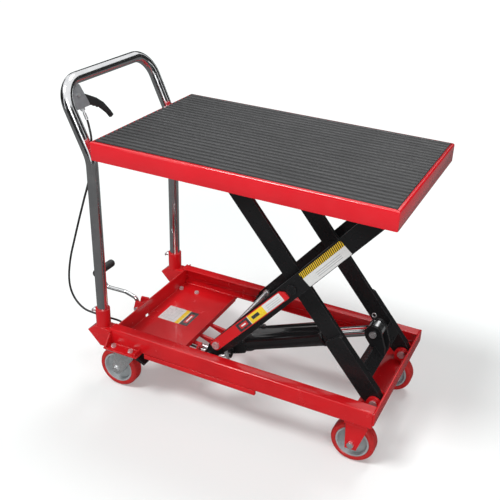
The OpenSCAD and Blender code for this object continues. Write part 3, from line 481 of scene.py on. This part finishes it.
def inward(outline, gap):
    """An outline moved inwards by gap: each point goes along the half-way line of its two sides."""
    ahead = np.roll(outline, -1, axis=0) - outline
    ahead /= np.linalg.norm(ahead, axis=1)[:, None]
    left = np.stack([-ahead[:, 1], ahead[:, 0]], 1)
    mean = left + np.roll(left, 1, axis=0)
    area = np.sum(outline[:, 0] * np.roll(outline[:, 1], -1) - outline[:, 1] * np.roll(outline[:, 0], -1))
    mean *= (2.0 if area > 0 else -2.0) / np.maximum(np.sum(mean * mean, axis=1), 1.0)[:, None]
    return outline + mean * gap


def slab(outline, low, high, edge, place, steps=3):
    """A flat outline given thickness from low to high, with a quarter-round of radius edge along both
    rims: ring after ring of the outline, moved inwards by edge times one minus a sine as the height
    goes by edge times one minus a cosine."""
    outline = np.asarray(outline, float)
    t = np.linspace(0, math.pi / 2, steps + 1)
    gaps = np.concatenate([edge * (1 - np.sin(t)), edge * (1 - np.sin(t[::-1]))])
    heights = np.concatenate([low + edge * (1 - np.cos(t)), high - edge * (1 - np.cos(t[::-1]))])
    rings = np.concatenate([place(inward(outline, g), h) for g, h in zip(gaps, heights)])
    n = len(outline)
    faces = [list(f) for f in quads(len(gaps), n, wrap_columns=True)]
    faces.append(list(range(n))[::-1])
    faces.append(list(range((len(gaps) - 1) * n, len(gaps) * n)))
    return rings, faces


def flat_xy(outline, h):
    """Outline in X and Y, thickness along Z."""
    return np.stack([outline[:, 0] + rear, outline[:, 1], np.full(len(outline), h)], 1)


def flat_yz(outline, h):
    """Outline in Y and Z, thickness along X."""
    return np.stack([np.full(len(outline), h + rear), outline[:, 0], outline[:, 1]], 1)


def paint(name, colour, shade, pale, edge, gloss=0.16, peel=0.25, coat=0.35, shine=0.5):
    """Sprayed enamel: a body colour that drifts to a darker shade, paler along edges, partly as wear where
    the coat thins and partly as a painted highlight, a fine orange-peel skin, and a gloss that dulls in soft
    patches."""
    made, tree, shader = finish_of(name)
    where = coordinates(tree)
    body = blend_of(tree, speckle(tree, where, 9, 3.0, 0.5), colour, shade)
    flecks = sums(tree, "MULTIPLY", speckle(tree, where, 260, 2.0, 0.5, 0.70, 0.80), 0.06)
    body = blend_of(tree, flecks, body, pale)
    # Paler along the edges: partly wear where the coat thins, partly a painted highlight where light would
    # catch the edges.
    if edge:
        edge_breakup = speckle(tree, where, 55, 5.0, 0.6, 0.3, 0.6, 0.25, 0.8)
        wear_and_highlight = sums(tree, "MULTIPLY", edge_wear_and_highlight(tree, edge), edge_breakup)
        body = blend_of(tree, wear_and_highlight, body, pale)
    tree.links.new(body, shader.inputs["Base Color"])
    patches = speckle(tree, where, 26, 5.0, 0.6, 0.3, 0.7, gloss, gloss + 0.12)
    tree.links.new(patches, shader.inputs["Roughness"])
    shader.inputs["Coat Weight"].default_value = coat
    shader.inputs["Coat Roughness"].default_value = 0.08
    shader.inputs["Specular IOR Level"].default_value = shine
    rough_skin(tree, shader, speckle(tree, where, 700, 2.0), 0.00012, peel, edge)
    return made


table_red = paint("table_red", (0.86, 0.010, 0.022), (0.78, 0.008, 0.018), (0.95, 0.22, 0.22), 0.0,
                  gloss=0.12, peel=0.2, coat=0.9)

low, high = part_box("table_top")
length, half = high.x - low.x, high.y
skirt, sheet = low.z, high.z
rim = oblong(0, length, -half, half, 0.004, 5)
bend = np.linspace(0, math.pi / 2, 6)
fold, wall, lip = 0.0055, 0.003, 0.0006
outside = np.stack([fold * (1 - np.sin(bend)), sheet - fold * (1 - np.cos(bend))], 1)
inner_fold = fold - wall
inside = np.stack([wall + inner_fold * (1 - np.sin(bend)), sheet - wall - inner_fold * (1 - np.cos(bend))], 1)
foot_of_wall = [[0.0, skirt + lip], [lip, skirt], [wall - lip, skirt], [wall, skirt + lip]]
section = np.concatenate([outside, foot_of_wall, inside[::-1]])
rings = np.concatenate([flat_xy(inward(rim, g), h) for g, h in section])
count = len(rim)
faces = [list(f) for f in quads(len(section), count, wrap_columns=True)]
faces.append(list(range(count))[::-1])
faces.append(list(range((len(section) - 1) * count, len(section) * count)))
piece("table_sheet", [(rings, faces)], "table", table_red, ["table_top"], crease=60)

# ---------------------------------------------------------------------------
# Ribbed mat. A sheet of black rubber matting laid in the table top, with
# rounded ribs along its whole length and a flat groove between each two.

low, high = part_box("mat")
ribs, points_a_rib = 25, 18
rib_rise, end_drop = 0.0022, 0.0010
v = np.linspace(0, 1, ribs * points_a_rib + 1)
phase = (v * ribs) % 1.0
crest = np.clip(1.7 * np.sin(math.pi * np.clip((phase - 0.2) / 0.6, 0, 1)), 0, 1) ** 0.8
height = (high.z - rib_rise) + rib_rise * crest
u = np.array([0.0, 0.0006, 0.0016, 0.25, 0.5, 0.75, 1 - 0.0016, 1 - 0.0006, 1.0])
drop = end_drop * np.array([1.0, 0.35, 0.0, 0.0, 0.0, 0.0, 0.0, 0.35, 1.0])
x = low.x + u * (high.x - low.x)
y = low.y + v * (high.y - low.y)
top = np.stack(np.broadcast_arrays(x[:, None], y[None, :], height[None, :] - drop[:, None]), -1)
underside = np.stack(np.broadcast_arrays(x[:, None], y[None, :], np.full((1, len(v)), low.z)), -1)
rows, columns = top.shape[:2]
top_faces = quads(rows, columns)
rim_index = np.concatenate([np.arange(columns), np.arange(1, rows) * columns + columns - 1,
                            (rows - 1) * columns + np.arange(columns - 2, -1, -1),
                            np.arange(rows - 2, 0, -1) * columns])
under = rim_index + rows * columns
wall_faces = np.stack([rim_index, np.roll(rim_index, -1), np.roll(under, -1), under], 1)
mat_faces = [list(f) for f in top_faces[:, ::-1]] + [list(f) for f in wall_faces] + [list(under)]

mat_black, tree, shader = finish_of("mat_rubber")
where = coordinates(tree)
streaks = coordinates(tree, stretch=(0.12, 1.0, 1.0))
dusty = speckle(tree, streaks, 60, 6.0, 0.65, 0.42, 0.72)
soft = blend_of(tree, speckle(tree, where, 6, 3.0), (0.040, 0.041, 0.043), (0.056, 0.057, 0.060))
soft = blend_of(tree, sums(tree, "MULTIPLY", dusty, 0.5), soft, (0.110, 0.111, 0.114))
layers = tree.nodes.new("ShaderNodeSeparateXYZ")
tree.links.new(coordinates(tree), layers.inputs[0])
# Painted shade: the colour darkens to near black towards the bottom of each groove between the ribs, so the
# rib tops read lighter.
groove_painted_shade = tree.nodes.new("ShaderNodeMapRange")
groove_painted_shade.inputs["From Min"].default_value = high.z - 0.0014
groove_painted_shade.inputs["From Max"].default_value = high.z - 0.0002
groove_painted_shade.inputs["To Min"].default_value = 0.97
groove_painted_shade.inputs["To Max"].default_value = 0.0
tree.links.new(layers.outputs["Z"], groove_painted_shade.inputs["Value"])
tree.links.new(blend_of(tree, groove_painted_shade.outputs[0], soft, (0.003, 0.003, 0.0033)), shader.inputs["Base Color"])
tree.links.new(speckle(tree, streaks, 90, 5.0, 0.6, 0.3, 0.7, 0.42, 0.62), shader.inputs["Roughness"])
rough_skin(tree, shader, speckle(tree, where, 1400, 3.0), 0.00025, 0.55)
piece("ribbed_mat", [(np.concatenate([top.reshape(-1, 3), underside.reshape(-1, 3)]), mat_faces)], "table",
      mat_black, ["mat"], crease=70)

# ---------------------------------------------------------------------------
# Base rails. Two lengths of rolled C-channel, 53 by 33 by 5 mm, open inwards,
# with a flat strip welded under the middle of each. Gloss red enamel.

base_red = paint("base_red", (0.66, 0.0085, 0.013), (0.54, 0.006, 0.010), (0.92, 0.18, 0.16), 0.0016)

rail_out, rail_low, rail_high, rail_end = 0.220, 0.150, 0.203, 0.806
flange, rail_wall = 0.033, 0.005
strip_low, strip_high, strip_thick = 0.135, 0.1502, 0.009
strip_from, strip_to = 0.115, 0.4713
for side, word in ((-1, "right"), (1, "left")):
    outer = rail_out * side
    lips = outer - side * flange
    web = outer - side * rail_wall
    under = outer - side * strip_thick
    upper, lower = rail_high - rail_wall, rail_low + rail_wall
    channel = rounded([[outer, rail_low], [outer, rail_high], [lips, rail_high], [lips, upper],
                       [web, upper], [web, lower], [lips, lower], [lips, rail_low]],
                      [0.005, 0.005, 0.0015, 0.0015, 0.003, 0.003, 0.0015, 0.0015], 5)
    strip = rounded([[outer, strip_low], [outer, strip_high], [under, strip_high], [under, strip_low]],
                    [0.0015, 0.0003, 0.0003, 0.0015], 3)
    piece("channel_" + word, [slab(channel, 0.0, rail_end, 0.0006, flat_yz, 2),
                              slab(strip, strip_from, strip_to, 0.001, flat_yz, 2)],
          "base", base_red, ["rail_" + word], crease=40)

bar_low, bar_thick = 0.163, 0.006
end_bar = oblong(-rail_out, rail_out, bar_low, rail_high, 0.003, 4)
piece("end_bar", [slab(end_bar, rail_end, rail_end + bar_thick, 0.0018, flat_yz, 3)], "base", base_red,
      ["front_bar"], crease=40)

# ---------------------------------------------------------------------------
# Slot closers. Two small pieces of the pan's own sheet, let into the ends of
# the slot that the pedal arm swings through, and painted with the pan.

slot_right, slot_left = -0.0531, -0.0369
closer_thick = 0.00302
closer = oblong(0.0135, 0.0371, slot_right, slot_left, 0.0005, 2)
flap = oblong(slot_right, slot_left, 0.1590, 0.1780, 0.0005, 2)
piece("slot_closers", [slab(closer, 0.1500, 0.1500 + closer_thick, 0.0002, flat_xy, 1),
                       slab(flap, 0.0080, 0.0080 + closer_thick, 0.0002, flat_yz, 1)],
      "base", base_red, crease=40)

# ---------------------------------------------------------------------------
# Welds. Short fillets of weld metal, painted over, where the pan, the handle
# sockets, the caster flanges and the end bar meet the rails, and where the
# front beam meets the wheel forks.


def bead(start, end, radius, pitch=0.0042, seed=1):
    """A weld bead from start to end: a round section whose radius swells and shrinks once every pitch,
    a little unevenly."""
    start, end = np.asarray(start, float), np.asarray(end, float)
    span = np.linalg.norm(end - start)
    n = max(8, int(span / pitch * 5))
    t = np.linspace(0, 1, n)
    uneven = np.random.default_rng(seed).normal(0, 0.06, n)
    swell = radius * (0.86 + 0.2 * np.abs(np.sin(math.pi * t * span / pitch)) + uneven)
    swell *= np.clip(np.minimum(t, 1 - t) * n / 2.5, 0.25, 1)
    along = (end - start) / span
    side = (0, 0, 1) if abs(along[2]) < 0.8 else (1, 0, 0)
    line = start + (end - start) * t[:, None] + [rear, 0, 0]
    return tube(line, swell, side=side, around=10)


beads = []
for side in (-1, 1):
    beads += [bead([0.012, side * 0.1868, 0.1535], [0.192, side * 0.1868, 0.1535], 0.0022, seed=3 + side),
              bead([0.0, side * 0.2185, 0.2035], [0.0, side * 0.1905, 0.2035], 0.0018, seed=5 + side),
              bead([-0.001, side * 0.2205, 0.156], [0.0, side * 0.2205, 0.196], 0.0016, seed=7 + side),
              bead([0.005, side * 0.2205, 0.156], [0.104, side * 0.2205, 0.156], 0.0018, seed=9 + side),
              bead([0.8055, side * 0.2205, 0.165], [0.8055, side * 0.2205, 0.201], 0.0012, seed=11 + side),
              bead([0.766, side * 0.1405, 0.1513], [0.788, side * 0.1405, 0.1513], 0.0018, seed=13 + side)]
piece("weld_beads", beads, "base", base_red, crease=60)

# ---------------------------------------------------------------------------
# Wheels. Each is a red polyurethane tyre cast on a grey nylon centre with a
# raised rim, a recessed web and a steel-sleeved boss round the axle.


def turned(profile, middle, axis=(0.0, 1.0, 0.0), around=64, closed=True):
    """A profile of (radius, height) turned about an axis: middle plus height times the axis plus radius
    times the cosine and sine of two directions square to it. A closed profile is a ring, an open one
    starts and ends on the axis."""
    axis = np.asarray(axis, float) / np.linalg.norm(axis)
    ahead = np.array([1.0, 0, 0]) if abs(axis[0]) < 0.9 else np.array([0, 0, 1.0])
    u = np.cross(axis, ahead)
    u /= np.linalg.norm(u)
    v = np.cross(axis, u)
    profile = np.asarray(profile, float)
    a = np.linspace(0, 2 * math.pi, around, endpoint=False)[None, :, None]
    points = (np.asarray(middle, float) + profile[:, 1, None, None] * axis
              + profile[:, 0, None, None] * (np.cos(a) * u + np.sin(a) * v))
    return points.reshape(-1, 3), quads(len(profile), around, wrap_rows=closed, wrap_columns=True)


tyre_red, tree, shader = finish_of("tyre_red")
where = coordinates(tree)
scuffs = speckle(tree, where, 70, 6.0, 0.65, 0.45, 0.7)
worn = sums(tree, "MULTIPLY", scuffs, 0.55)
tree.links.new(blend_of(tree, worn, (0.50, 0.014, 0.014), (0.34, 0.020, 0.018)), shader.inputs["Base Color"])
tree.links.new(speckle(tree, where, 45, 5.0, 0.6, 0.3, 0.7, 0.24, 0.42), shader.inputs["Roughness"])
shader.inputs["Subsurface Weight"].default_value = 0.05
shader.inputs["Subsurface Radius"].default_value = (0.006, 0.001, 0.001)
shader.inputs["Subsurface Scale"].default_value = 0.6
rough_skin(tree, shader, speckle(tree, where, 500, 4.0), 0.0002, 0.3)

hub_grey = mottled("hub_grey", (0.37, 0.39, 0.40), (0.29, 0.31, 0.32), (60, 5.0, 0.6), (130, 4.0, 0.34, 0.5),
                   (900, 3.0, 0.0002, 0.35))

for place, body in (("front_%s_right", "front_wheel_r"), ("front_%s_left", "front_wheel_l"),
                    ("rear_%s_right", "rear_wheel_r"), ("rear_%s_left", "rear_wheel_l")):
    low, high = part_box(place % "tread")
    middle = np.array((low + high)) / 2
    outer, face = (high.z - low.z) / 2, (high.y - low.y) / 2
    low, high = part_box(place % "hub")
    hub_outer, boss = (high.z - low.z) / 2, (high.y - low.y) / 2
    seat = hub_outer + 0.00005
    tyre = rounded([[seat, -face + 0.0022], [hub_outer + 0.0025, -face], [outer - 0.0045, -face],
                    [outer, -face + 0.0065], [outer, face - 0.0065], [outer - 0.0045, face],
                    [hub_outer + 0.0025, face], [seat, face - 0.0022]],
                   [0.001, 0.001, 0.003, 0.005, 0.005, 0.003, 0.001, 0.001], 4)
    piece(place % "tyre", [turned(tyre, middle, around=96)], body, tyre_red, [place % "tread"],
          crease=45)
    half_side = [[hub_outer, -face + 0.0022], [hub_outer - 0.001, -face + 0.001],
                 [hub_outer - 0.0045, -face + 0.001], [hub_outer - 0.0058, -face + 0.004],
                 [hub_outer - 0.0075, -face + 0.0125], [0.0225, -face + 0.0130], [0.0185, -face + 0.0075],
                 [0.0170, -face + 0.0020], [0.0150, -face + 0.0010], [0.0118, -face + 0.0010],
                 [0.0110, -face - 0.0006], [0.0108, -boss], [0.00607, -boss]]
    other = [[r, -h] for r, h in half_side[::-1]]
    piece(place % "centre", [turned(half_side + other, middle, around=72)], body, hub_grey,
          [place % "hub"], crease=28)

# ---------------------------------------------------------------------------
# Hydraulic unit. A tube-shaped oil tank round the lifting ram, capped by a
# turned gland, both sprayed black, with two bright zinc fittings in the gland.

black_gloss = paint("tank_black", (0.0075, 0.0075, 0.0082), (0.012, 0.012, 0.013), (0.10, 0.10, 0.105), 0.0,
                    gloss=0.09, peel=0.2, coat=0.6)

pump_x, pump_z = 0.265, 0.117
eye_x, eye_z = 0.7288655, 0.3041275
pump_middle = np.array([pump_x + rear, 0.0, pump_z])
lifting = math.atan2(eye_z - pump_z, eye_x - pump_x)
ram_way = np.array([math.cos(lifting), 0.0, math.sin(lifting)])
ram_up = np.array([-math.sin(lifting), 0.0, math.cos(lifting)])
tank_from, tank_to, tank_r = 0.09005, 0.350, 0.035
tank_bore, rod_bore = 0.0211, 0.01508
filler_at, filler_r = 0.150, 0.008
rim_round = 0.0045
bulge = np.linspace(0, math.pi / 2, 6)
tank_line = ([[tank_bore, tank_from], [tank_r + 0.0005, tank_from], [tank_r + 0.0015, tank_from + 0.001],
              [tank_r + 0.0015, tank_from + 0.006], [tank_r + 0.0006, tank_from + 0.008],
              [tank_r - 0.0003, tank_from + 0.010], [tank_r - 0.0003, tank_to - 0.012],
              [tank_r + 0.0008, tank_to - 0.010], [tank_r + 0.0015, tank_to - 0.007]]
             + [[tank_r - 0.003 + rim_round * math.cos(b), tank_to - rim_round + rim_round * math.sin(b)]
                for b in bulge]
             + [[tank_bore, tank_to]])
filler_line = [[0.0, tank_r + 0.006], [filler_r - 0.0012, tank_r + 0.006], [filler_r, tank_r + 0.005],
               [filler_r, tank_r - 0.004], [0.0, tank_r - 0.004]]
piece("oil_tank", [turned(tank_line, pump_middle, ram_way, 80),
                   turned(filler_line, pump_middle + ram_way * filler_at, ram_up, 24, closed=False)],
      "pump", black_gloss, ["tank"], crease=40)

gland_line = [[r, tank_to + h] for r, h in (
    (rod_bore, 0.0001), (0.0325, 0.0001), (0.033, 0.001), (0.033, 0.0078), (0.0318, 0.009), (0.0278, 0.0092),
    (0.027, 0.0102), (0.027, 0.0148), (0.0258, 0.016), (0.0205, 0.016), (0.0195, 0.0145), (0.0172, 0.0145),
    (rod_bore, 0.0158))]
knob = [[0.0, 0.0130], [0.0045, 0.0130], [0.0058, 0.0120], [0.0058, 0.0090], [0.0, 0.0090]]
small = [[0.0, 0.0128], [0.0035, 0.0128], [0.0046, 0.0118], [0.0046, 0.0090], [0.0, 0.0090]]
gland_at = pump_middle + ram_way * tank_to
piece("gland_cap", [turned(gland_line, pump_middle, ram_way, 64)], "pump", black_gloss,
      ["gland"], crease=30)

zinc = mottled("zinc_plate", (0.80, 0.81, 0.83), (0.64, 0.65, 0.65), (90, 5.0, 0.65), (220, 5.0, 0.22, 0.42),
               (900, 3.0, 0.00015, 0.35), metal=0.8, edge=0.0006)
piece("tank_fittings", [turned(knob, gland_at + [0, -0.020, 0] + ram_up * 0.012, ram_way, 24, closed=False),
                        turned(small, gland_at + [0, -0.014, 0] - ram_up * 0.020, ram_way, 20, closed=False)],
      "pump", zinc, crease=30)

# ---------------------------------------------------------------------------
# Foot pedal sleeve. A moulded black rubber grip pushed on the pedal's cross
# rod, with sixteen rings round it and domed ends.

low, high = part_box("pedal_rubber")
middle = np.array((low + high)) / 2
half_long, thick = (high.y - low.y) / 2, (high.z - low.z) / 2
rings_round, groove_depth = 16, 0.0011
v = np.linspace(0, 1, 241)
h = (v * 2 - 1) * half_long
groove_wave = 0.5 - 0.5 * np.cos(2 * math.pi * v * rings_round)
r = thick - groove_depth * groove_wave
r = r * np.clip(1 - (np.abs(v * 2 - 1) ** 40), 0, 1) ** 0.35
r[0] = r[-1] = 0.0
rubber_black = mottled("pedal_rubber", (0.012, 0.012, 0.013), (0.036, 0.036, 0.038), (160, 5.0, 0.6), 0.5,
                       (1300, 3.0, 0.0003, 0.5))
piece("pedal_sleeve", [turned(np.stack([r, h], 1), middle, around=40, closed=False)], "pedal", rubber_black,
      ["pedal_rubber"], crease=50)

# ---------------------------------------------------------------------------
# Painted steelwork kept from the design model: sockets, pan, brackets and
# bars in red, arms and pump in black, pins and caster parts in bright zinc.

arm_black = paint("arm_black", (0.0085, 0.0085, 0.0092), (0.013, 0.013, 0.014), (0.20, 0.20, 0.21), 0.0011,
                  gloss=0.22, peel=0.3, coat=0.0, shine=0.3)
bracket_grey = mottled("bracket_grey", (0.34, 0.35, 0.37), (0.44, 0.45, 0.47), (70, 5.0, 0.6),
                       (140, 4.0, 0.34, 0.5), (800, 3.0, 0.0002, 0.4), metal=0.55, edge=0.0006)
lever_black = mottled("lever_black", (0.012, 0.012, 0.013), (0.024, 0.024, 0.026), (110, 5.0, 0.6), 0.38,
                      (1000, 3.0, 0.0002, 0.4), edge=0.002)
dark_steel = mottled("dark_steel", (0.16, 0.16, 0.165), (0.26, 0.26, 0.27), (90, 5.0, 0.65),
                     (200, 5.0, 0.28, 0.46), (900, 3.0, 0.00015, 0.3), metal=0.9, edge=0.0008)

kept = {
    base_red: ["front_beam", "front_ears", "front_forks", "floor_pan", "handle_sockets", "caster_flanges",
               "pump_bar", "pedal_bracket", "table_frame", "safety_bar"],
    zinc: ["base_pins", "clamp_screws", "caster_plates", "lever_hardware", "plunger", "valve_lever",
           "ram_pin", "outer_shafts", "table_pins", "caster_fork_right", "caster_fork_left", "release_wire",
           "push_rod"],
    chrome: ["ram", "pedal_rod"],
    arm_black: ["pump_block", "arm_inner_right", "arm_inner_left", "ram_cross", "arm_outer_right",
                "arm_outer_left", "outer_tube", "centre_pins", "brake_right", "brake_left"],
    dark_steel: ["inner_shafts", "roller_upper_right", "roller_upper_left", "roller_lower_right",
                 "roller_lower_left"],
    bracket_grey: ["lever_bracket"],
    lever_black: ["release_lever"],
}
for finish, nodes in kept.items():
    for node in nodes:
        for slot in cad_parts[node].material_slots:
            slot.material = finish

# ---------------------------------------------------------------------------
# Plates and labels. Thin printed plastic sheets stuck on the pan, on the
# safety bar and on the right outer arm: plain bands and blocks of colour.


def band(tree, value, low, high):
    """1 where the value lies between low and high, else 0."""
    above = sums(tree, "GREATER_THAN", value, low)
    below = sums(tree, "LESS_THAN", value, high)
    return sums(tree, "MULTIPLY", above, below)


def printed(tree, shader, colour, scuffing):
    """Finishes a printed sheet: its print faintly scuffed to grey, a satin gloss in soft patches, and a
    fine skin."""
    where = coordinates(tree)
    scuff = sums(tree, "MULTIPLY", speckle(tree, where, 150, 6.0, 0.65, 0.5, 0.75), scuffing)
    tree.links.new(blend_of(tree, scuff, colour, (0.36, 0.35, 0.33)), shader.inputs["Base Color"])
    tree.links.new(speckle(tree, where, 90, 4.0, 0.6, 0.3, 0.7, 0.22, 0.36), shader.inputs["Roughness"])
    rough_skin(tree, shader, speckle(tree, where, 600, 2.0), 0.0001, 0.2)


def sticker(name, blocks, ground=(0.70, 0.71, 0.71)):
    """A printed sheet: blocks of (colour, u from, u to, v from, v to) one over another on its ground,
    faintly scuffed."""
    made, tree, shader = finish_of(name)
    sheet_map = coordinates(tree, "UV")
    split = tree.nodes.new("ShaderNodeSeparateXYZ")
    tree.links.new(sheet_map, split.inputs[0])
    u, v = split.outputs["X"], split.outputs["Y"]
    colour = ground
    for block, u0, u1, v0, v1 in blocks:
        inside = sums(tree, "MULTIPLY", band(tree, u, u0, u1), band(tree, v, v0, v1))
        colour = blend_of(tree, inside, colour, block)
    printed(tree, shader, colour, 0.25)
    return made


def chart_on(origin, u_edge, v_edge):
    """Places on a sheet as shares of its two edges from its first corner."""
    origin, u_edge, v_edge = (np.asarray(e, float) for e in (origin, u_edge, v_edge))

    def flat(point):
        away = np.array(point) - origin
        return float(away @ u_edge / (u_edge @ u_edge)), float(away @ v_edge / (v_edge @ v_edge))
    return flat


def stuck(name, origin, u_edge, v_edge, out, body, finish, thick=0.0004, corner_radius=0.002):
    """A thin sheet with rounded corners on the parallelogram of two edges from an origin, raised along
    out."""
    origin, u_edge, v_edge, out = (np.asarray(e, float) for e in (origin, u_edge, v_edge, out))
    lu, lv = np.linalg.norm(u_edge), np.linalg.norm(v_edge)
    outline = oblong(0, lu, 0, lv, corner_radius, 4)

    def place(flat, h):
        return origin + flat[:, :1] * u_edge / lu + flat[:, 1:] * v_edge / lv + h * out
    return piece(name, [slab(outline, 0.00005, thick, 0.00012, place, 2)], body, finish,
                 chart=chart_on(origin, u_edge, v_edge), crease=40)


white, yellow, slate = (0.88, 0.88, 0.88), (0.86, 0.60, 0.02), (0.035, 0.042, 0.045)
mark_red, rule = (0.62, 0.02, 0.02), (0.36, 0.37, 0.38)
pan_print = sticker("pan_print", [(rule, 0.05, 0.50, k, k + 0.012) for k in np.arange(0.14, 0.9, 0.085)]
                    + [(yellow, 0.58, 0.71, 0.0, 1.0), (slate, 0.73, 1.0, 0.0, 1.0),
                       (mark_red, 0.80, 0.93, 0.18, 0.82), (white, 0.845, 0.885, 0.28, 0.72)])
stuck("pan_plate", [0.045 + rear, -0.039, 0.153], [0.104, 0, 0], [0, 0.078, 0], [0, 0, 1], "base", pan_print)

open_angle = math.radians(50)
roller_x, roller_z = 0.29648, 0.175
outer_from = np.array([roller_x + rear, 0.0, roller_z])


def on_outer(s, p, y):
    """A place on the outer arms: s along the arm from the rear roller, p square to it."""
    return outer_from + [s * math.cos(open_angle) - p * math.sin(open_angle), y,
                         s * math.sin(open_angle) + p * math.cos(open_angle)]


along_arm = np.array([math.cos(open_angle), 0.0, math.sin(open_angle)])
across_arm = np.array([-math.sin(open_angle), 0.0, math.cos(open_angle)])
hazard, tree, shader = finish_of("hazard_print")
sheet_map = coordinates(tree, "UV")
split = tree.nodes.new("ShaderNodeSeparateXYZ")
tree.links.new(sheet_map, split.inputs[0])
slanted = sums(tree, "ADD", sums(tree, "MULTIPLY", split.outputs["X"], 26.0),
               sums(tree, "MULTIPLY", split.outputs["Y"], -2.0))
stripe = sums(tree, "GREATER_THAN", sums(tree, "FRACT", slanted, 0.0), 0.5)
striped = blend_of(tree, stripe, (0.90, 0.58, 0.01), (0.01, 0.01, 0.01))
upper = sums(tree, "GREATER_THAN", split.outputs["Y"], 0.62)
ruled = (0.74, 0.74, 0.73)
for k in (0.16, 0.28, 0.40):
    inside = sums(tree, "MULTIPLY", band(tree, split.outputs["X"], 0.26, 0.84),
                  band(tree, split.outputs["Y"], k, k + 0.035))
    ruled = blend_of(tree, inside, ruled, (0.40, 0.40, 0.41))
printed(tree, shader, blend_of(tree, upper, ruled, striped), 0.2)
stuck("hazard_plate", on_outer(0.428, -0.0235, -0.16605), along_arm * 0.158, across_arm * 0.044, [0, -1, 0],
      "outer_arms", hazard)

bar_turn = open_angle + math.radians(-1.5)
bar_along = np.array([math.cos(bar_turn), 0.0, math.sin(bar_turn)])
bar_across = np.array([-math.sin(bar_turn), 0.0, math.cos(bar_turn)])
bar_print = sticker("bar_print", [(slate, 0.0, 0.27, 0.0, 1.0), (mark_red, 0.05, 0.22, 0.25, 0.75),
                                  (white, 0.085, 0.185, 0.42, 0.58), (yellow, 0.28, 0.62, 0.0, 1.0),
                                  (slate, 0.34, 0.50, 0.34, 0.72)]
                    + [(rule, 0.67, 0.96, k, k + 0.05) for k in (0.2, 0.42, 0.64)])
bar_corner = on_outer(0.057, 0.010, -0.17305) + bar_along * 0.102 - bar_across * 0.0125
stuck("bar_plate", bar_corner, bar_along * 0.185, bar_across * 0.025, [0, -1, 0], "safety_bar", bar_print)
